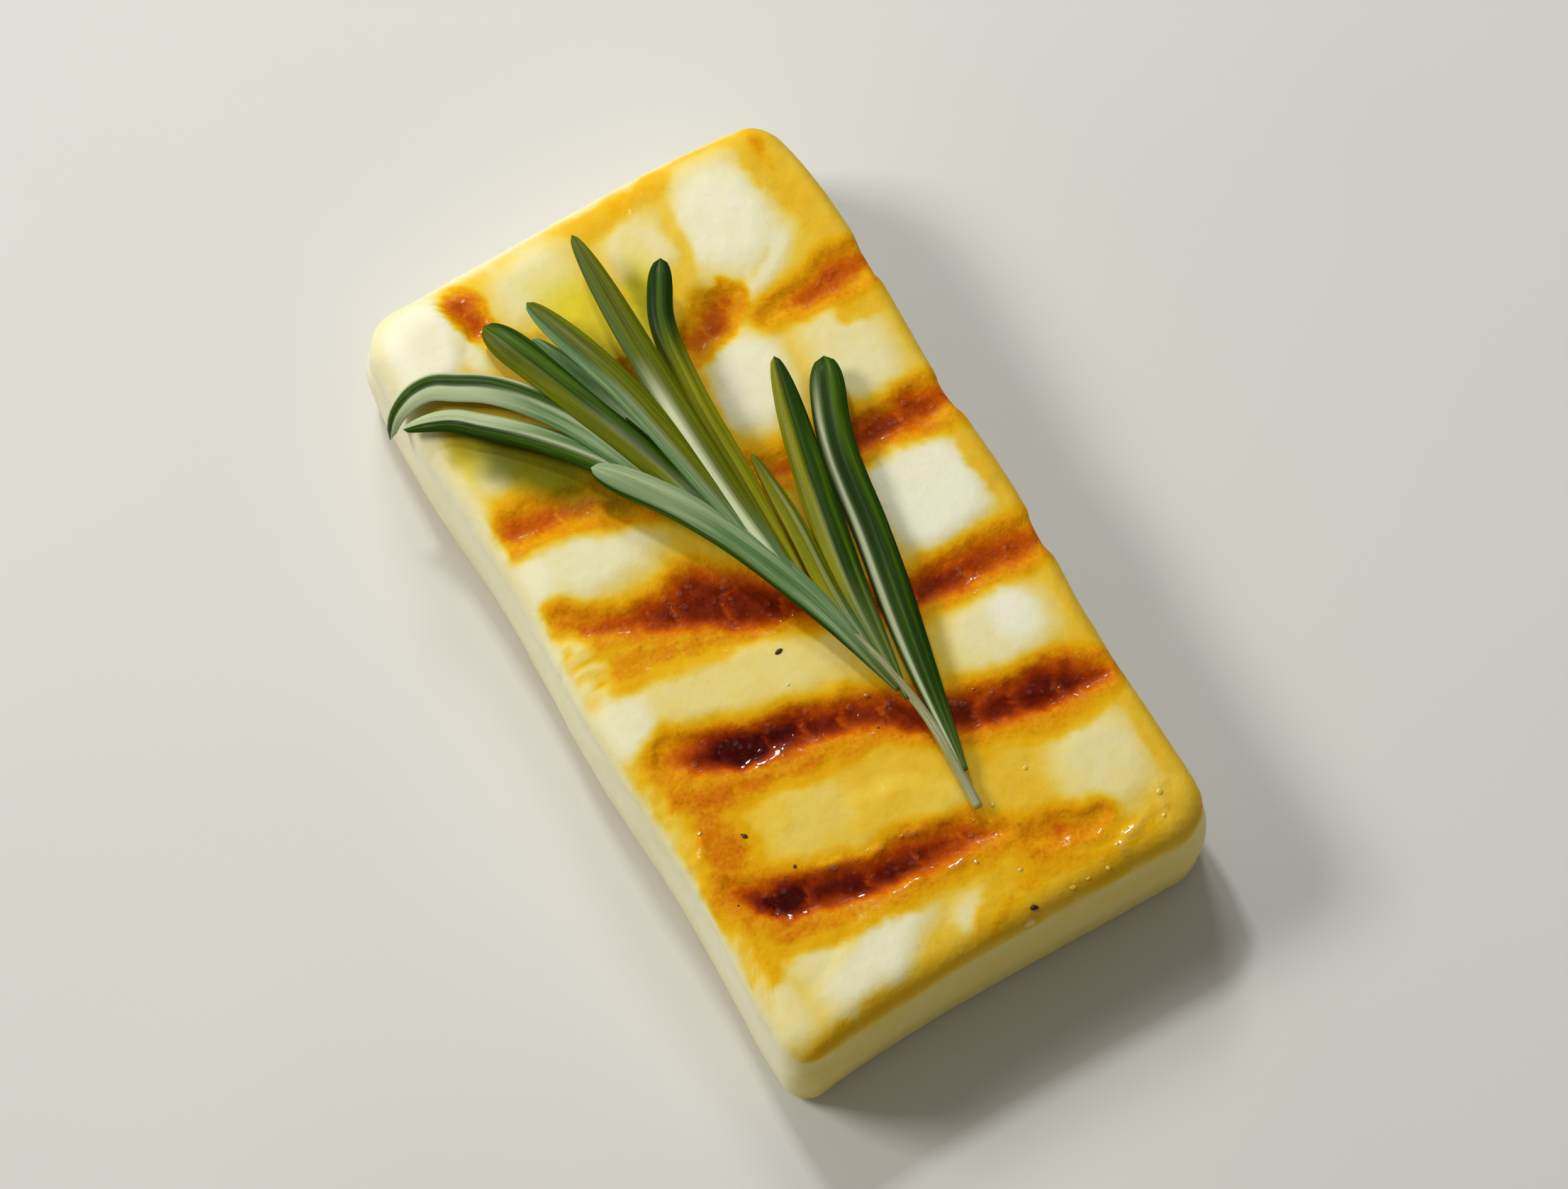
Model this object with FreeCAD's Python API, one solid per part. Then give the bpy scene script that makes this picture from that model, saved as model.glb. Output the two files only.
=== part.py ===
import FreeCAD, Part
import math
import os

# Grilled halloumi slice with a rosemary sprig lying on it, in millimetres.
# +X runs along the slice, +Y across it and +Z up. The origin is under the
# middle of the whole thing, on the surface that it lies on.
#
# halloumi_slice   one solid: an uneven slab with soft edges, five slanted grill
#                  grooves pressed into its top and five faint ones beneath
# rosemary_sprig   one solid: a thin stem and the needles that fan out from it

Vector = FreeCAD.Vector

# ---------------------------------------------------------------- slice sizes
SLICE_LENGTH = 72.0
SLICE_WIDTH = 39.6
SLICE_THICKNESS = 14.0
TOP_EDGE_RADIUS = 2.6
BOTTOM_EDGE_RADIUS = 1.5
EDGE_TRIM = 0.12             # the bottom round is cut flat this far up
WALL_BULGE = 0.35            # how far the walls swell at half height
CORNER_RADII = {             # plan radius of each corner, by the signs of x, y
    (1, 1): 3.6,
    (-1, 1): 2.2,
    (-1, -1): 3.4,
    (1, -1): 2.4,
}
FAR_END_REACH = 0.8          # the whole -X end reaches this much further
FAR_END_BULGE = 0.3          # and its middle swells by this past its corners
FAR_CORNER_CUT = 1.2         # the -X +Y corner is pulled in along X and Y
NEAR_END_FLARE = 1.3         # the +X end reaches this much further at -Y
BACK_EDGE_REACH = 0.6        # the +Y edge reaches this much further
LONG_EDGE_WAVE = 0.25        # slow waviness of the long edges
LONG_EDGE_WAVES = 2.5        # waves along one long edge

# ------------------------------------------------------------ grilled surface
EDGE_FALL = 0.7              # the top drops by this from its middle to its rim
PILLOW_HEIGHT = 0.22         # cheese swells up between the bars
PILLOW_PITCH = 13.5          # distance between pillows along a bar
BAR_COUNT = 5
BAR_PITCH = 12.7             # distance between bars along X
BAR_SLANT = 0.34             # X travelled for each millimetre along Y
BAR_MIDDLE_X = 1.1           # where the middle bar crosses y = 0
BAR_WIDTH = 3.0
BAR_DEPTH = 0.55
UNDER_BAR_DEPTH = 0.35
BAR_END_MARGIN = 1.6         # bars fade out this far from the long edges

# ---------------------------------------------------------------- sprig sizes
SEAT_GAP = 0.25              # clearance between the sprig and the cheese
STEM_RADIUS = 0.6
STEM_TIP_RADIUS = 0.35
STEM_FLATNESS = 0.96         # a stem is a little less tall than wide
NEEDLE_FLATNESS = 0.42       # thickness of a needle as a share of its width
NEEDLE_ROOT_WIDTH = 0.45     # share of the full width at the root
NEEDLE_TIP_WIDTH = 0.22      # share of the full width at the tip

# Every plan point of the sprig is x, then its distance in from the slice's -Y
# edge, then its lift: the height of its underside over the cheese. The stem
# runs from its cut end to its bud.
STEM_POINTS = [
    (25.6, 23.1, 0.0),
    (16.5, 23.4, 0.2),
    (8.5, 21.6, 0.9),
    (0.8, 18.5, 1.4),
    (-7.5, 17.8, 1.5),
]

# Needles by name: full width, then the points of its root, middle and tip.
NEEDLES = {
    "edge_long": (2.7, (20.5, 23.7, 0.3), (1.0, 27.5, 0.7), (-13.9, 31.9, 1.2)),
    "edge_sharp": (2.3, (11.4, 22.4, 0.7), (-3.2, 24.8, 1.6), (-15.8, 28.3, 1.9)),
    "back_dark": (2.1, (1.0, 19.1, 1.6), (-15.5, 20.6, 2.2), (-27.8, 24.3, 2.6)),
    "far_long": (2.2, (-2.8, 18.8, 1.8), (-18.9, 19.0, 3.0), (-33.2, 19.0, 2.9)),
    "far_blunt": (2.5, (-5.2, 18.4, 1.7), (-18.6, 16.1, 3.2), (-30.2, 13.0, 1.8)),
    "sage_under": (2.0, (-6.0, 17.9, 1.1), (-18.5, 14.8, 1.4), (-27.4, 12.1, 0.8)),
    "middle_dark": (2.7, (-4.8, 17.8, 1.1), (-18.6, 13.7, 1.3), (-30.6, 9.1, 0.4)),
    "front_low": (2.3, (-5.4, 17.4, 0.9), (-19.0, 9.6, 0.2), (-25.6, 2.4, 0.1)),
    "broad_sage": (3.0, (8.6, 21.2, 0.9), (-5.0, 15.8, 1.9), (-15.2, 10.4, 1.9)),
}

# The needle that curls down over the -Y edge: plan points of its run over the
# top, then how far out from the wall and how far below the rim its tip hangs.
CURLED_WIDTH = 2.3
CURLED_RUN = [(-4.6, 17.2, 1.0), (-19.4, 11.9, 0.5), (-27.2, 6.4, 0.1)]
CURLED_EDGE_X = -29.3
CURLED_TIP_X = -28.4
CURLED_OUT = 1.7
CURLED_DROP = 4.2

# ------------------------------------------------------------------ fineness
SIDE_POINTS = 9              # outline points along each side
CORNER_POINTS = 4            # outline points round each corner
BLOCK_MARGIN = 3.0           # the top surface reaches past the plan by this
WALL_STEP = 1.3              # height between outlines up the wall
GRID_STEP = 1.25             # spacing of the points that carry the top surface
PATH_STEPS = 9               # seated points along a needle or the stem
NEEDLE_STATIONS = (0.0, 0.14, 0.34, 0.58, 0.8, 0.93, 1.0)


def rounded_rectangle(half_x, half_y, inset):
    """Points round a rectangle with its four corner radii, counter-clockwise."""
    points = []
    turns = [(1, -1, -90.0), (1, 1, 0.0), (-1, 1, 90.0), (-1, -1, 180.0)]
    for sign_x, sign_y, start in turns:
        radius = max(CORNER_RADII[(sign_x, sign_y)] - 0.5 * inset, 1.0)
        centre_x = sign_x * (half_x - radius)
        centre_y = sign_y * (half_y - radius)
        for step in range(CORNER_POINTS):
            angle = math.radians(start + 90.0 * step / (CORNER_POINTS - 1))
            points.append((centre_x + radius * math.cos(angle),
                           centre_y + radius * math.sin(angle)))
        next_index = (turns.index((sign_x, sign_y, start)) + 1) % len(turns)
        next_x, next_y, next_start = turns[next_index]
        next_radius = max(CORNER_RADII[(next_x, next_y)] - 0.5 * inset, 1.0)
        angle = math.radians(next_start)
        goal_x = next_x * (half_x - next_radius) + next_radius * math.cos(angle)
        goal_y = next_y * (half_y - next_radius) + next_radius * math.sin(angle)
        from_x, from_y = points[-1]
        for step in range(1, SIDE_POINTS + 1):
            share = step / (SIDE_POINTS + 1.0)
            points.append((from_x + share * (goal_x - from_x),
                           from_y + share * (goal_y - from_y)))
    return points


def warp(x, y):
    """Carry a point of the plain rectangle to the uneven plan of the slice."""
    along = 2.0 * x / SLICE_LENGTH
    across = 2.0 * y / SLICE_WIDTH
    far = max(-along, 0.0) ** 4
    near = max(along, 0.0) ** 4
    shift_x = -far * (FAR_END_REACH + FAR_END_BULGE * math.cos(0.5 * math.pi * across))
    shift_x += NEAR_END_FLARE * near * max(-across, 0.0) ** 2
    cut = far * max(across, 0.0) ** 3
    shift_x += 0.6 * FAR_CORNER_CUT * cut
    shift_y = BACK_EDGE_REACH * max(across, 0.0) ** 2 - FAR_CORNER_CUT * cut
    wave = math.sin(math.pi * LONG_EDGE_WAVES * along + 0.8)
    shift_y += LONG_EDGE_WAVE * across * abs(across) * wave
    return x + shift_x, y + shift_y


def outline(z, inset):
    """One closed wire of the slice's plan, pulled in by inset, at height z."""
    half_x = 0.5 * SLICE_LENGTH - inset
    half_y = 0.5 * SLICE_WIDTH - inset
    plan = [warp(x, y) for x, y in rounded_rectangle(half_x, half_y, inset)]
    points = [Vector(x, y, z) for x, y in plan]
    curve = Part.BSplineCurve()
    curve.interpolate(Points=points, PeriodicFlag=True)
    return Part.Wire([curve.toShape()])


def wall_sections():
    """Height and inset of each outline, from below the underside to past the top."""
    sections = []
    foot = BOTTOM_EDGE_RADIUS - EDGE_TRIM
    for angle in (0.0, 45.0, 90.0):
        turn = math.radians(angle)
        sections.append((foot - BOTTOM_EDGE_RADIUS * math.cos(turn),
                         BOTTOM_EDGE_RADIUS * (1.0 - math.sin(turn))))
    shoulder = SLICE_THICKNESS + 0.5 * EDGE_FALL - TOP_EDGE_RADIUS
    rise = shoulder - foot
    steps = max(int(round(rise / WALL_STEP)), 2)
    for step in range(1, steps):
        share = step / steps
        swell = WALL_BULGE * math.sin(math.pi * share) ** 2
        sections.append((foot + share * rise, -swell))
    for angle in (0.0, 27.0, 54.0, 80.0):
        turn = math.radians(angle)
        sections.append((shoulder + TOP_EDGE_RADIUS * math.sin(turn),
                         TOP_EDGE_RADIUS * (1.0 - math.cos(turn))))
    return sections


def bar_distance(x, y):
    """Distance along X from a point to the nearest bar's middle line."""
    place = (x - BAR_MIDDLE_X - BAR_SLANT * y) / BAR_PITCH
    reach = (BAR_COUNT - 1) // 2
    nearest = min(max(round(place), -reach), reach)
    return (place - nearest) * BAR_PITCH


def bar_groove(x, y):
    """Depth of the grill groove at a point, as a share of the full depth."""
    across = bar_distance(x, y) / (0.5 * BAR_WIDTH)
    room = 0.5 * SLICE_WIDTH - BAR_END_MARGIN - abs(y)
    fade = min(max(room / (2.0 * BAR_END_MARGIN), 0.0), 1.0)
    return math.exp(-across * across) * fade * fade * (3.0 - 2.0 * fade)


def top_height(x, y):
    """Height of the grilled top at a point."""
    along = min(abs(2.0 * x / SLICE_LENGTH), 1.1)
    across = min(abs(2.0 * y / SLICE_WIDTH), 1.1)
    fall = EDGE_FALL * 0.5 * (along ** 4 + across ** 4)
    between = 0.5 - 0.5 * math.cos(2.0 * math.pi * bar_distance(x, y) / BAR_PITCH)
    rows = 0.5 - 0.5 * math.cos(2.0 * math.pi * (y / PILLOW_PITCH + 0.5))
    pillow = PILLOW_HEIGHT * (between * rows - 1.0)
    return SLICE_THICKNESS + pillow - fall - BAR_DEPTH * bar_groove(x, y)


def top_block():
    """Everything between the flat underside and the grilled top surface."""
    reach_x = 0.5 * SLICE_LENGTH + BLOCK_MARGIN
    reach_y = 0.5 * SLICE_WIDTH + BLOCK_MARGIN
    count_x = int(round(2.0 * reach_x / GRID_STEP))
    count_y = int(round(2.0 * reach_y / GRID_STEP))
    rows = []
    for i in range(count_x + 1):
        x = -reach_x + 2.0 * reach_x * i / count_x
        row = []
        for j in range(count_y + 1):
            y = -reach_y + 2.0 * reach_y * j / count_y
            row.append(Vector(x, y, top_height(x, y)))
        rows.append(row)
    surface = Part.BSplineSurface()
    surface.interpolate(rows)
    below = surface.toShape().extrude(Vector(0, 0, -2.0 * SLICE_THICKNESS))
    corner = Vector(-2.0 * reach_x, -2.0 * reach_y, 0)
    above_rest = Part.makeBox(4.0 * reach_x, 4.0 * reach_y, 2.0 * SLICE_THICKNESS, corner)
    return below.common(above_rest)


def under_bar(index):
    """A slender rod that presses one faint groove into the underside."""
    half = 0.5 * SLICE_WIDTH - 2.0 * BAR_END_MARGIN - BOTTOM_EDGE_RADIUS
    middle = BAR_MIDDLE_X + BAR_PITCH * (index - 0.5 * (BAR_COUNT - 1))
    start = Vector(middle - BAR_SLANT * half, -half, 0)
    run = Vector(2.0 * BAR_SLANT * half, 2.0 * half, 0)
    half_width = 0.5 * BAR_WIDTH
    radius = (half_width ** 2 + UNDER_BAR_DEPTH ** 2) / (2.0 * UNDER_BAR_DEPTH)
    start.z = UNDER_BAR_DEPTH - radius
    return Part.makeCylinder(radius, run.Length, start, run)


def halloumi_slice():
    """The slab: lofted walls, cut to the grilled top and grooved beneath."""
    wires = [outline(z, inset) for z, inset in wall_sections()]
    slab = Part.makeLoft(wires, True, False)
    slab = slab.common(top_block())
    for index in range(BAR_COUNT):
        slab = slab.cut(under_bar(index))
    return slab.Solids[0]


def smooth_path(points):
    """A spline through the given points."""
    curve = Part.BSplineCurve()
    curve.interpolate(Points=points)
    return curve


def seated_points(points, half_thickness):
    """Points of a middle line that follows the cheese under it.

    The plan points and their lifts are joined by one spline, and each of its
    stations is then set over the top surface.
    """
    edge = -0.5 * SLICE_WIDTH
    plan = smooth_path([Vector(x, edge + inward, lift) for x, inward, lift in points])
    seated = []
    for step in range(PATH_STEPS):
        share = step / (PATH_STEPS - 1.0)
        at = plan.FirstParameter + share * (plan.LastParameter - plan.FirstParameter)
        place = plan.value(at)
        under = top_height(place.x, place.y) + SEAT_GAP + half_thickness
        seated.append(Vector(place.x, place.y, under + max(place.z, 0.0)))
    return seated


def tapered_rod(curve, stations, half_widths, flatness):
    """A solid carried along a curve, its cross-sections flattened ellipses."""
    first, last = curve.FirstParameter, curve.LastParameter
    wires = []
    for station, half_width in zip(stations, half_widths):
        at = first + station * (last - first)
        centre = curve.value(at)
        tangent = Vector(*curve.tangent(at)[0])
        side = Vector(0, 0, 1).cross(tangent)
        side.normalize()
        up = tangent.cross(side)
        wide = centre + side * half_width
        thick = centre + up * (half_width * flatness)
        wires.append(Part.Wire([Part.Ellipse(wide, thick, centre).toShape()]))
    return Part.makeLoft(wires, True, False)


def needle_half_widths(width):
    """Half width at each station: narrow root, full middle, blunt tip."""
    halves = []
    for station in NEEDLE_STATIONS:
        swell = min(station / 0.34, 1.0)
        root = NEEDLE_ROOT_WIDTH + (1.0 - NEEDLE_ROOT_WIDTH) * math.sin(0.5 * math.pi * swell)
        tail = min(max((station - 0.58) / 0.42, 0.0), 1.0)
        tip = NEEDLE_TIP_WIDTH + (1.0 - NEEDLE_TIP_WIDTH) * math.sqrt(1.0 - tail ** 3)
        halves.append(0.5 * width * root * tip)
    return halves


def needle(width, points):
    """One needle through its seated plan points."""
    half_thickness = 0.5 * width * NEEDLE_FLATNESS
    path = smooth_path(seated_points(points, half_thickness))
    return tapered_rod(path, NEEDLE_STATIONS, needle_half_widths(width), NEEDLE_FLATNESS)


def curled_needle():
    """The needle that leaves the top and hangs down outside the -Y wall."""
    half_thickness = 0.5 * CURLED_WIDTH * NEEDLE_FLATNESS
    path = seated_points(CURLED_RUN, half_thickness)
    wall_y = warp(CURLED_EDGE_X, -0.5 * SLICE_WIDTH)[1]
    rim = top_height(CURLED_EDGE_X, wall_y) + SEAT_GAP + half_thickness
    path.append(Vector(CURLED_EDGE_X, wall_y + 0.4 * TOP_EDGE_RADIUS, rim + 0.3))
    path.append(Vector(CURLED_TIP_X, wall_y - CURLED_OUT, rim - CURLED_DROP))
    halves = needle_half_widths(CURLED_WIDTH)
    return tapered_rod(smooth_path(path), NEEDLE_STATIONS, halves, NEEDLE_FLATNESS)


def stem():
    """The woody stem, tapering from its cut end to its bud."""
    path = seated_points(STEM_POINTS, STEM_RADIUS)
    stations = [step / (PATH_STEPS - 1.0) for step in range(PATH_STEPS)]
    halves = [STEM_RADIUS + share * (STEM_TIP_RADIUS - STEM_RADIUS) for share in stations]
    return tapered_rod(smooth_path(path), stations, halves, STEM_FLATNESS)


def rosemary_sprig():
    """The stem and all its needles as one solid."""
    needles = [needle(row[0], row[1:]) for row in NEEDLES.values()]
    needles.append(curled_needle())
    return stem().multiFuse(needles)


def main():
    """Build both pieces, centre them over the origin and write them."""
    pieces = {
        "halloumi_slice": halloumi_slice(),
        "rosemary_sprig": rosemary_sprig(),
    }
    box = Part.makeCompound(list(pieces.values())).optimalBoundingBox()
    shift = Vector(-box.Center.x, -box.Center.y, -box.ZMin)
    os.makedirs("parts", exist_ok=True)
    for name, shape in pieces.items():
        shape.translate(shift)
        shape.exportStep("parts/" + name + ".step")
        print(name, len(shape.Solids), "solid,", round(shape.Volume, 1), "mm3, valid", shape.isValid())
    print("box", round(box.XLength, 2), round(box.YLength, 2), round(box.ZLength, 2), "shift", shift)


main()
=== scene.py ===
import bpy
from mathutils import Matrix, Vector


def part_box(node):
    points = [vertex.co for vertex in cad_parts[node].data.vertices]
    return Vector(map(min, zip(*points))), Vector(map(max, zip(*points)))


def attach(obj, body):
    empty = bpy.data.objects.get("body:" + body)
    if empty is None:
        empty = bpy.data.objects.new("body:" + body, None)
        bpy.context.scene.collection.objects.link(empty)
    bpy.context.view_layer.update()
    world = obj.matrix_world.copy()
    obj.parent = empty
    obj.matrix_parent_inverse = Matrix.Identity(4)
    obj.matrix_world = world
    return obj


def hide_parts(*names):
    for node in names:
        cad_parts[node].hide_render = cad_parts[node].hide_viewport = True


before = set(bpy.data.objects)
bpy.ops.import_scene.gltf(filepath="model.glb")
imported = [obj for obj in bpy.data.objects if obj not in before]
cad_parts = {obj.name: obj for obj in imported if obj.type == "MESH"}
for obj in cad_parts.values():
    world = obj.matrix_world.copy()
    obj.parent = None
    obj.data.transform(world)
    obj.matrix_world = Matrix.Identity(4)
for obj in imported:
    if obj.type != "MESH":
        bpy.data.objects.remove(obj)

"""Looks of a grilled halloumi slice and the rosemary sprig that lies on it.

The slice is one closed skin: its top, walls and underside are worked out on
grids, and its browning, pillows and grill bars are fields over its plan. The
sprig is a stem and swept needles. Shapes are worked out in millimetres in the
slice's own plan, with x along it and y across it, and are written to Blender
in metres, in the frame's place.
"""

import logging
import math
from dataclasses import dataclass, field
from enum import Enum
from typing import Callable, Optional, Sequence, Union

import bpy
import numpy as np
from mathutils import Vector

MM = 0.001
BODY = "root"
WHITE = (1.0, 1.0, 1.0)
AIM_HEIGHT = 0.008
LOG = logging.getLogger("halloumi")
Array = np.ndarray


# ------------------------------------------------------------------- numbers
def smooth_step(low: float, high: float, value: Array) -> Array:
    """Rise smoothly from 0 at low to 1 at high.

    Args:
        low: value where the step starts.
        high: value where it is complete; it may lie below low.
        value: values to judge.

    Returns:
        3t^2 - 2t^3 of the clipped share t of the way from low to high.
    """
    share = np.clip((value - low) / (high - low), 0.0, 1.0)
    return share * share * (3.0 - 2.0 * share)


def blend(start: Array, goal: Array, share: Array) -> Array:
    """Mix two values: start plus share times their difference."""
    return start + (goal - start) * share


def middle_of(low: float, high: float) -> float:
    """Half way between two values."""
    return (low + high) / 2.0


class Lattice:
    """A smooth random field: values on a repeating cubic lattice, eased between."""

    def __init__(self, seed: int, size: int = 32) -> None:
        """Fill a lattice of the given size with seeded values from -1 to 1."""
        self.size = size
        self.values = np.random.default_rng(seed).uniform(-1.0, 1.0, (size,) * 3)

    def at(self, points: Array) -> Array:
        """Read the field.

        Each value is the mix of its cell's eight corners, eased by
        3t^2 - 2t^3 along each axis.

        Args:
            points: positions in lattice cells, one row each.

        Returns:
            One value from -1 to 1 for each row.
        """
        cell = np.floor(points).astype(int)
        ease = points - cell
        ease = ease * ease * (3.0 - 2.0 * ease)
        total = np.zeros(len(points))
        for corner in np.ndindex(2, 2, 2):
            index = (cell + corner) % self.size
            weight = np.prod(np.where(corner, ease, 1.0 - ease), axis=1)
            total += weight * self.values[index[:, 0], index[:, 1], index[:, 2]]
        return total

    def layered(self, points: Array, pitch: float, layers: int = 3, gain: float = 0.5) -> Array:
        """Add finer and weaker copies of the field.

        Args:
            points: positions in millimetres, one row each.
            pitch: size of the coarsest cells in millimetres.
            layers: number of copies, each at about half the last pitch.
            gain: strength of each copy as a share of the last.

        Returns:
            The summed field, scaled back to about -1 to 1.
        """
        total = np.zeros(len(points))
        strength, scale, reach = 1.0, 1.0 / pitch, 0.0
        for layer in range(layers):
            total += strength * self.at(points * scale + 7.31 * layer)
            reach += strength
            strength *= gain
            scale *= 2.03
        return total / reach


# -------------------------------------------------------------------- meshes
@dataclass
class Skin:
    """A mesh in the making: vertices in millimetres, faces and vertex fields."""

    points: Array
    faces: list
    fields: dict = field(default_factory=dict)


def join_skins(skins: Sequence[Skin]) -> Skin:
    """Join several skins into one.

    Args:
        skins: the skins, each with the first one's fields.

    Returns:
        One skin with all their points and faces, and the first one's fields.
    """
    faces: list = []
    start = 0
    for skin in skins:
        faces += [np.asarray(block) + start for block in skin.faces]
        start += len(skin.points)
    names = skins[0].fields
    fields = {name: np.concatenate([skin.fields[name] for skin in skins]) for name in names}
    return Skin(np.concatenate([skin.points for skin in skins]), faces, fields)


def tube_faces(rings: int, around: int) -> list:
    """Face a closed tube of rings whose two end points follow them.

    Args:
        rings: number of rings, counted from the first end point's side.
        around: points in each ring, counter-clockwise seen from the last end.

    Returns:
        The quads between the rings, and the triangles that close both ends.
    """
    start, step = np.arange(rings - 1)[:, None] * around, np.arange(around)[None, :]
    after = (step + 1) % around
    quads = np.stack((start + step, start + after, start + around + after,
                      start + around + step), axis=-1).reshape(-1, 4)
    base, first = (rings - 1) * around, rings * around
    head = np.column_stack((np.full(around, first), after[0], step[0]))
    tail = np.column_stack((np.full(around, first + 1), base + step[0], base + after[0]))
    return [quads, np.concatenate((head, tail))]


def make_piece(name: str, skin: Skin, origin: Array, finish: bpy.types.Material) -> bpy.types.Object:
    """Turn a skin into a Blender object that rides on the slice's body.

    Args:
        name: the piece's name.
        skin: its shape, with faces given as blocks of equal-sided polygons.
        origin: where the slice's plan has its origin, in metres.
        finish: its material.

    Returns:
        The linked object, at the world's origin, shaded smooth.
    """
    blocks = [np.asarray(block, dtype=np.int32) for block in skin.faces if len(block)]
    corners = np.concatenate([block.ravel() for block in blocks])
    counts = np.concatenate([np.full(len(block), block.shape[1]) for block in blocks])
    mesh = bpy.data.meshes.new(name)
    mesh.vertices.add(len(skin.points))
    mesh.vertices.foreach_set("co", (skin.points * MM + origin).astype(np.float32).ravel())
    mesh.loops.add(len(corners))
    mesh.loops.foreach_set("vertex_index", corners)
    mesh.polygons.add(len(counts))
    starts = np.concatenate(([0], np.cumsum(counts)[:-1]))
    mesh.polygons.foreach_set("loop_start", starts.astype(np.int32))
    mesh.update(calc_edges=True)
    mesh.polygons.foreach_set("use_smooth", np.ones(len(counts), dtype=bool))
    for label, values in skin.fields.items():
        attribute = mesh.attributes.new(label, "FLOAT", "POINT")
        attribute.data.foreach_set("value", np.asarray(values, dtype=np.float32))
    mesh.validate()
    mesh.materials.append(finish)
    piece = bpy.data.objects.new(name, mesh)
    bpy.context.scene.collection.objects.link(piece)
    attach(piece, BODY)
    LOG.info("%s: %d vertices, %d faces", name, len(skin.points), len(counts))
    return piece


# ------------------------------------------------------------------- shaders
class Wire:
    """A shader socket whose operators add Math nodes."""

    def __init__(self, shop: "Shop", socket: bpy.types.NodeSocket) -> None:
        """Wrap an output socket of the shop's node tree."""
        self.shop = shop
        self.socket = socket

    def _math(self, operation: str, *values: Union["Wire", float]) -> "Wire":
        """Add one Math node with this operation over the given values."""
        return self.shop.node("ShaderNodeMath", {"operation": operation}, *values)

    def __add__(self, other: Union["Wire", float]) -> "Wire":
        """Sum."""
        return self._math("ADD", self, other)

    __radd__ = __add__

    def __sub__(self, other: Union["Wire", float]) -> "Wire":
        """Difference."""
        return self._math("SUBTRACT", self, other)

    def __rsub__(self, other: float) -> "Wire":
        """Reflected difference."""
        return self._math("SUBTRACT", other, self)

    def __mul__(self, other: Union["Wire", float]) -> "Wire":
        """Product."""
        return self._math("MULTIPLY", self, other)

    __rmul__ = __mul__

    def clipped(self) -> "Wire":
        """This value kept from 0 to 1."""
        return self.shop.node("ShaderNodeClamp", {}, self)

    def size(self) -> "Wire":
        """The value without its sign."""
        return self._math("ABSOLUTE", self)

    def step(self, low: float, high: float) -> "Wire":
        """Rise smoothly from 0 at low to 1 at high.

        Args:
            low: value where the step starts.
            high: value where it is complete; it may lie below low.

        Returns:
            The share of the step at each place.
        """
        settings = {"interpolation_type": "SMOOTHSTEP"}
        if low < high:
            return self.shop.node("ShaderNodeMapRange", settings, self, low, high, 0.0, 1.0)
        return self.shop.node("ShaderNodeMapRange", settings, self, high, low, 1.0, 0.0)


def to_linear(colour: Sequence[float]) -> tuple:
    """Turn a display colour into linear light.

    Dark values are a straight line; the others are a power of 2.4.

    Args:
        colour: red, green and blue from 0 to 255.

    Returns:
        Linear red, green and blue from 0 to 1, and full alpha.
    """
    shares = np.asarray(colour, dtype=float) / 255.0
    low = shares / 12.92
    high = ((shares + 0.055) / 1.055) ** 2.4
    return tuple(np.where(shares <= 0.04045, low, high)) + (1.0,)


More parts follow.
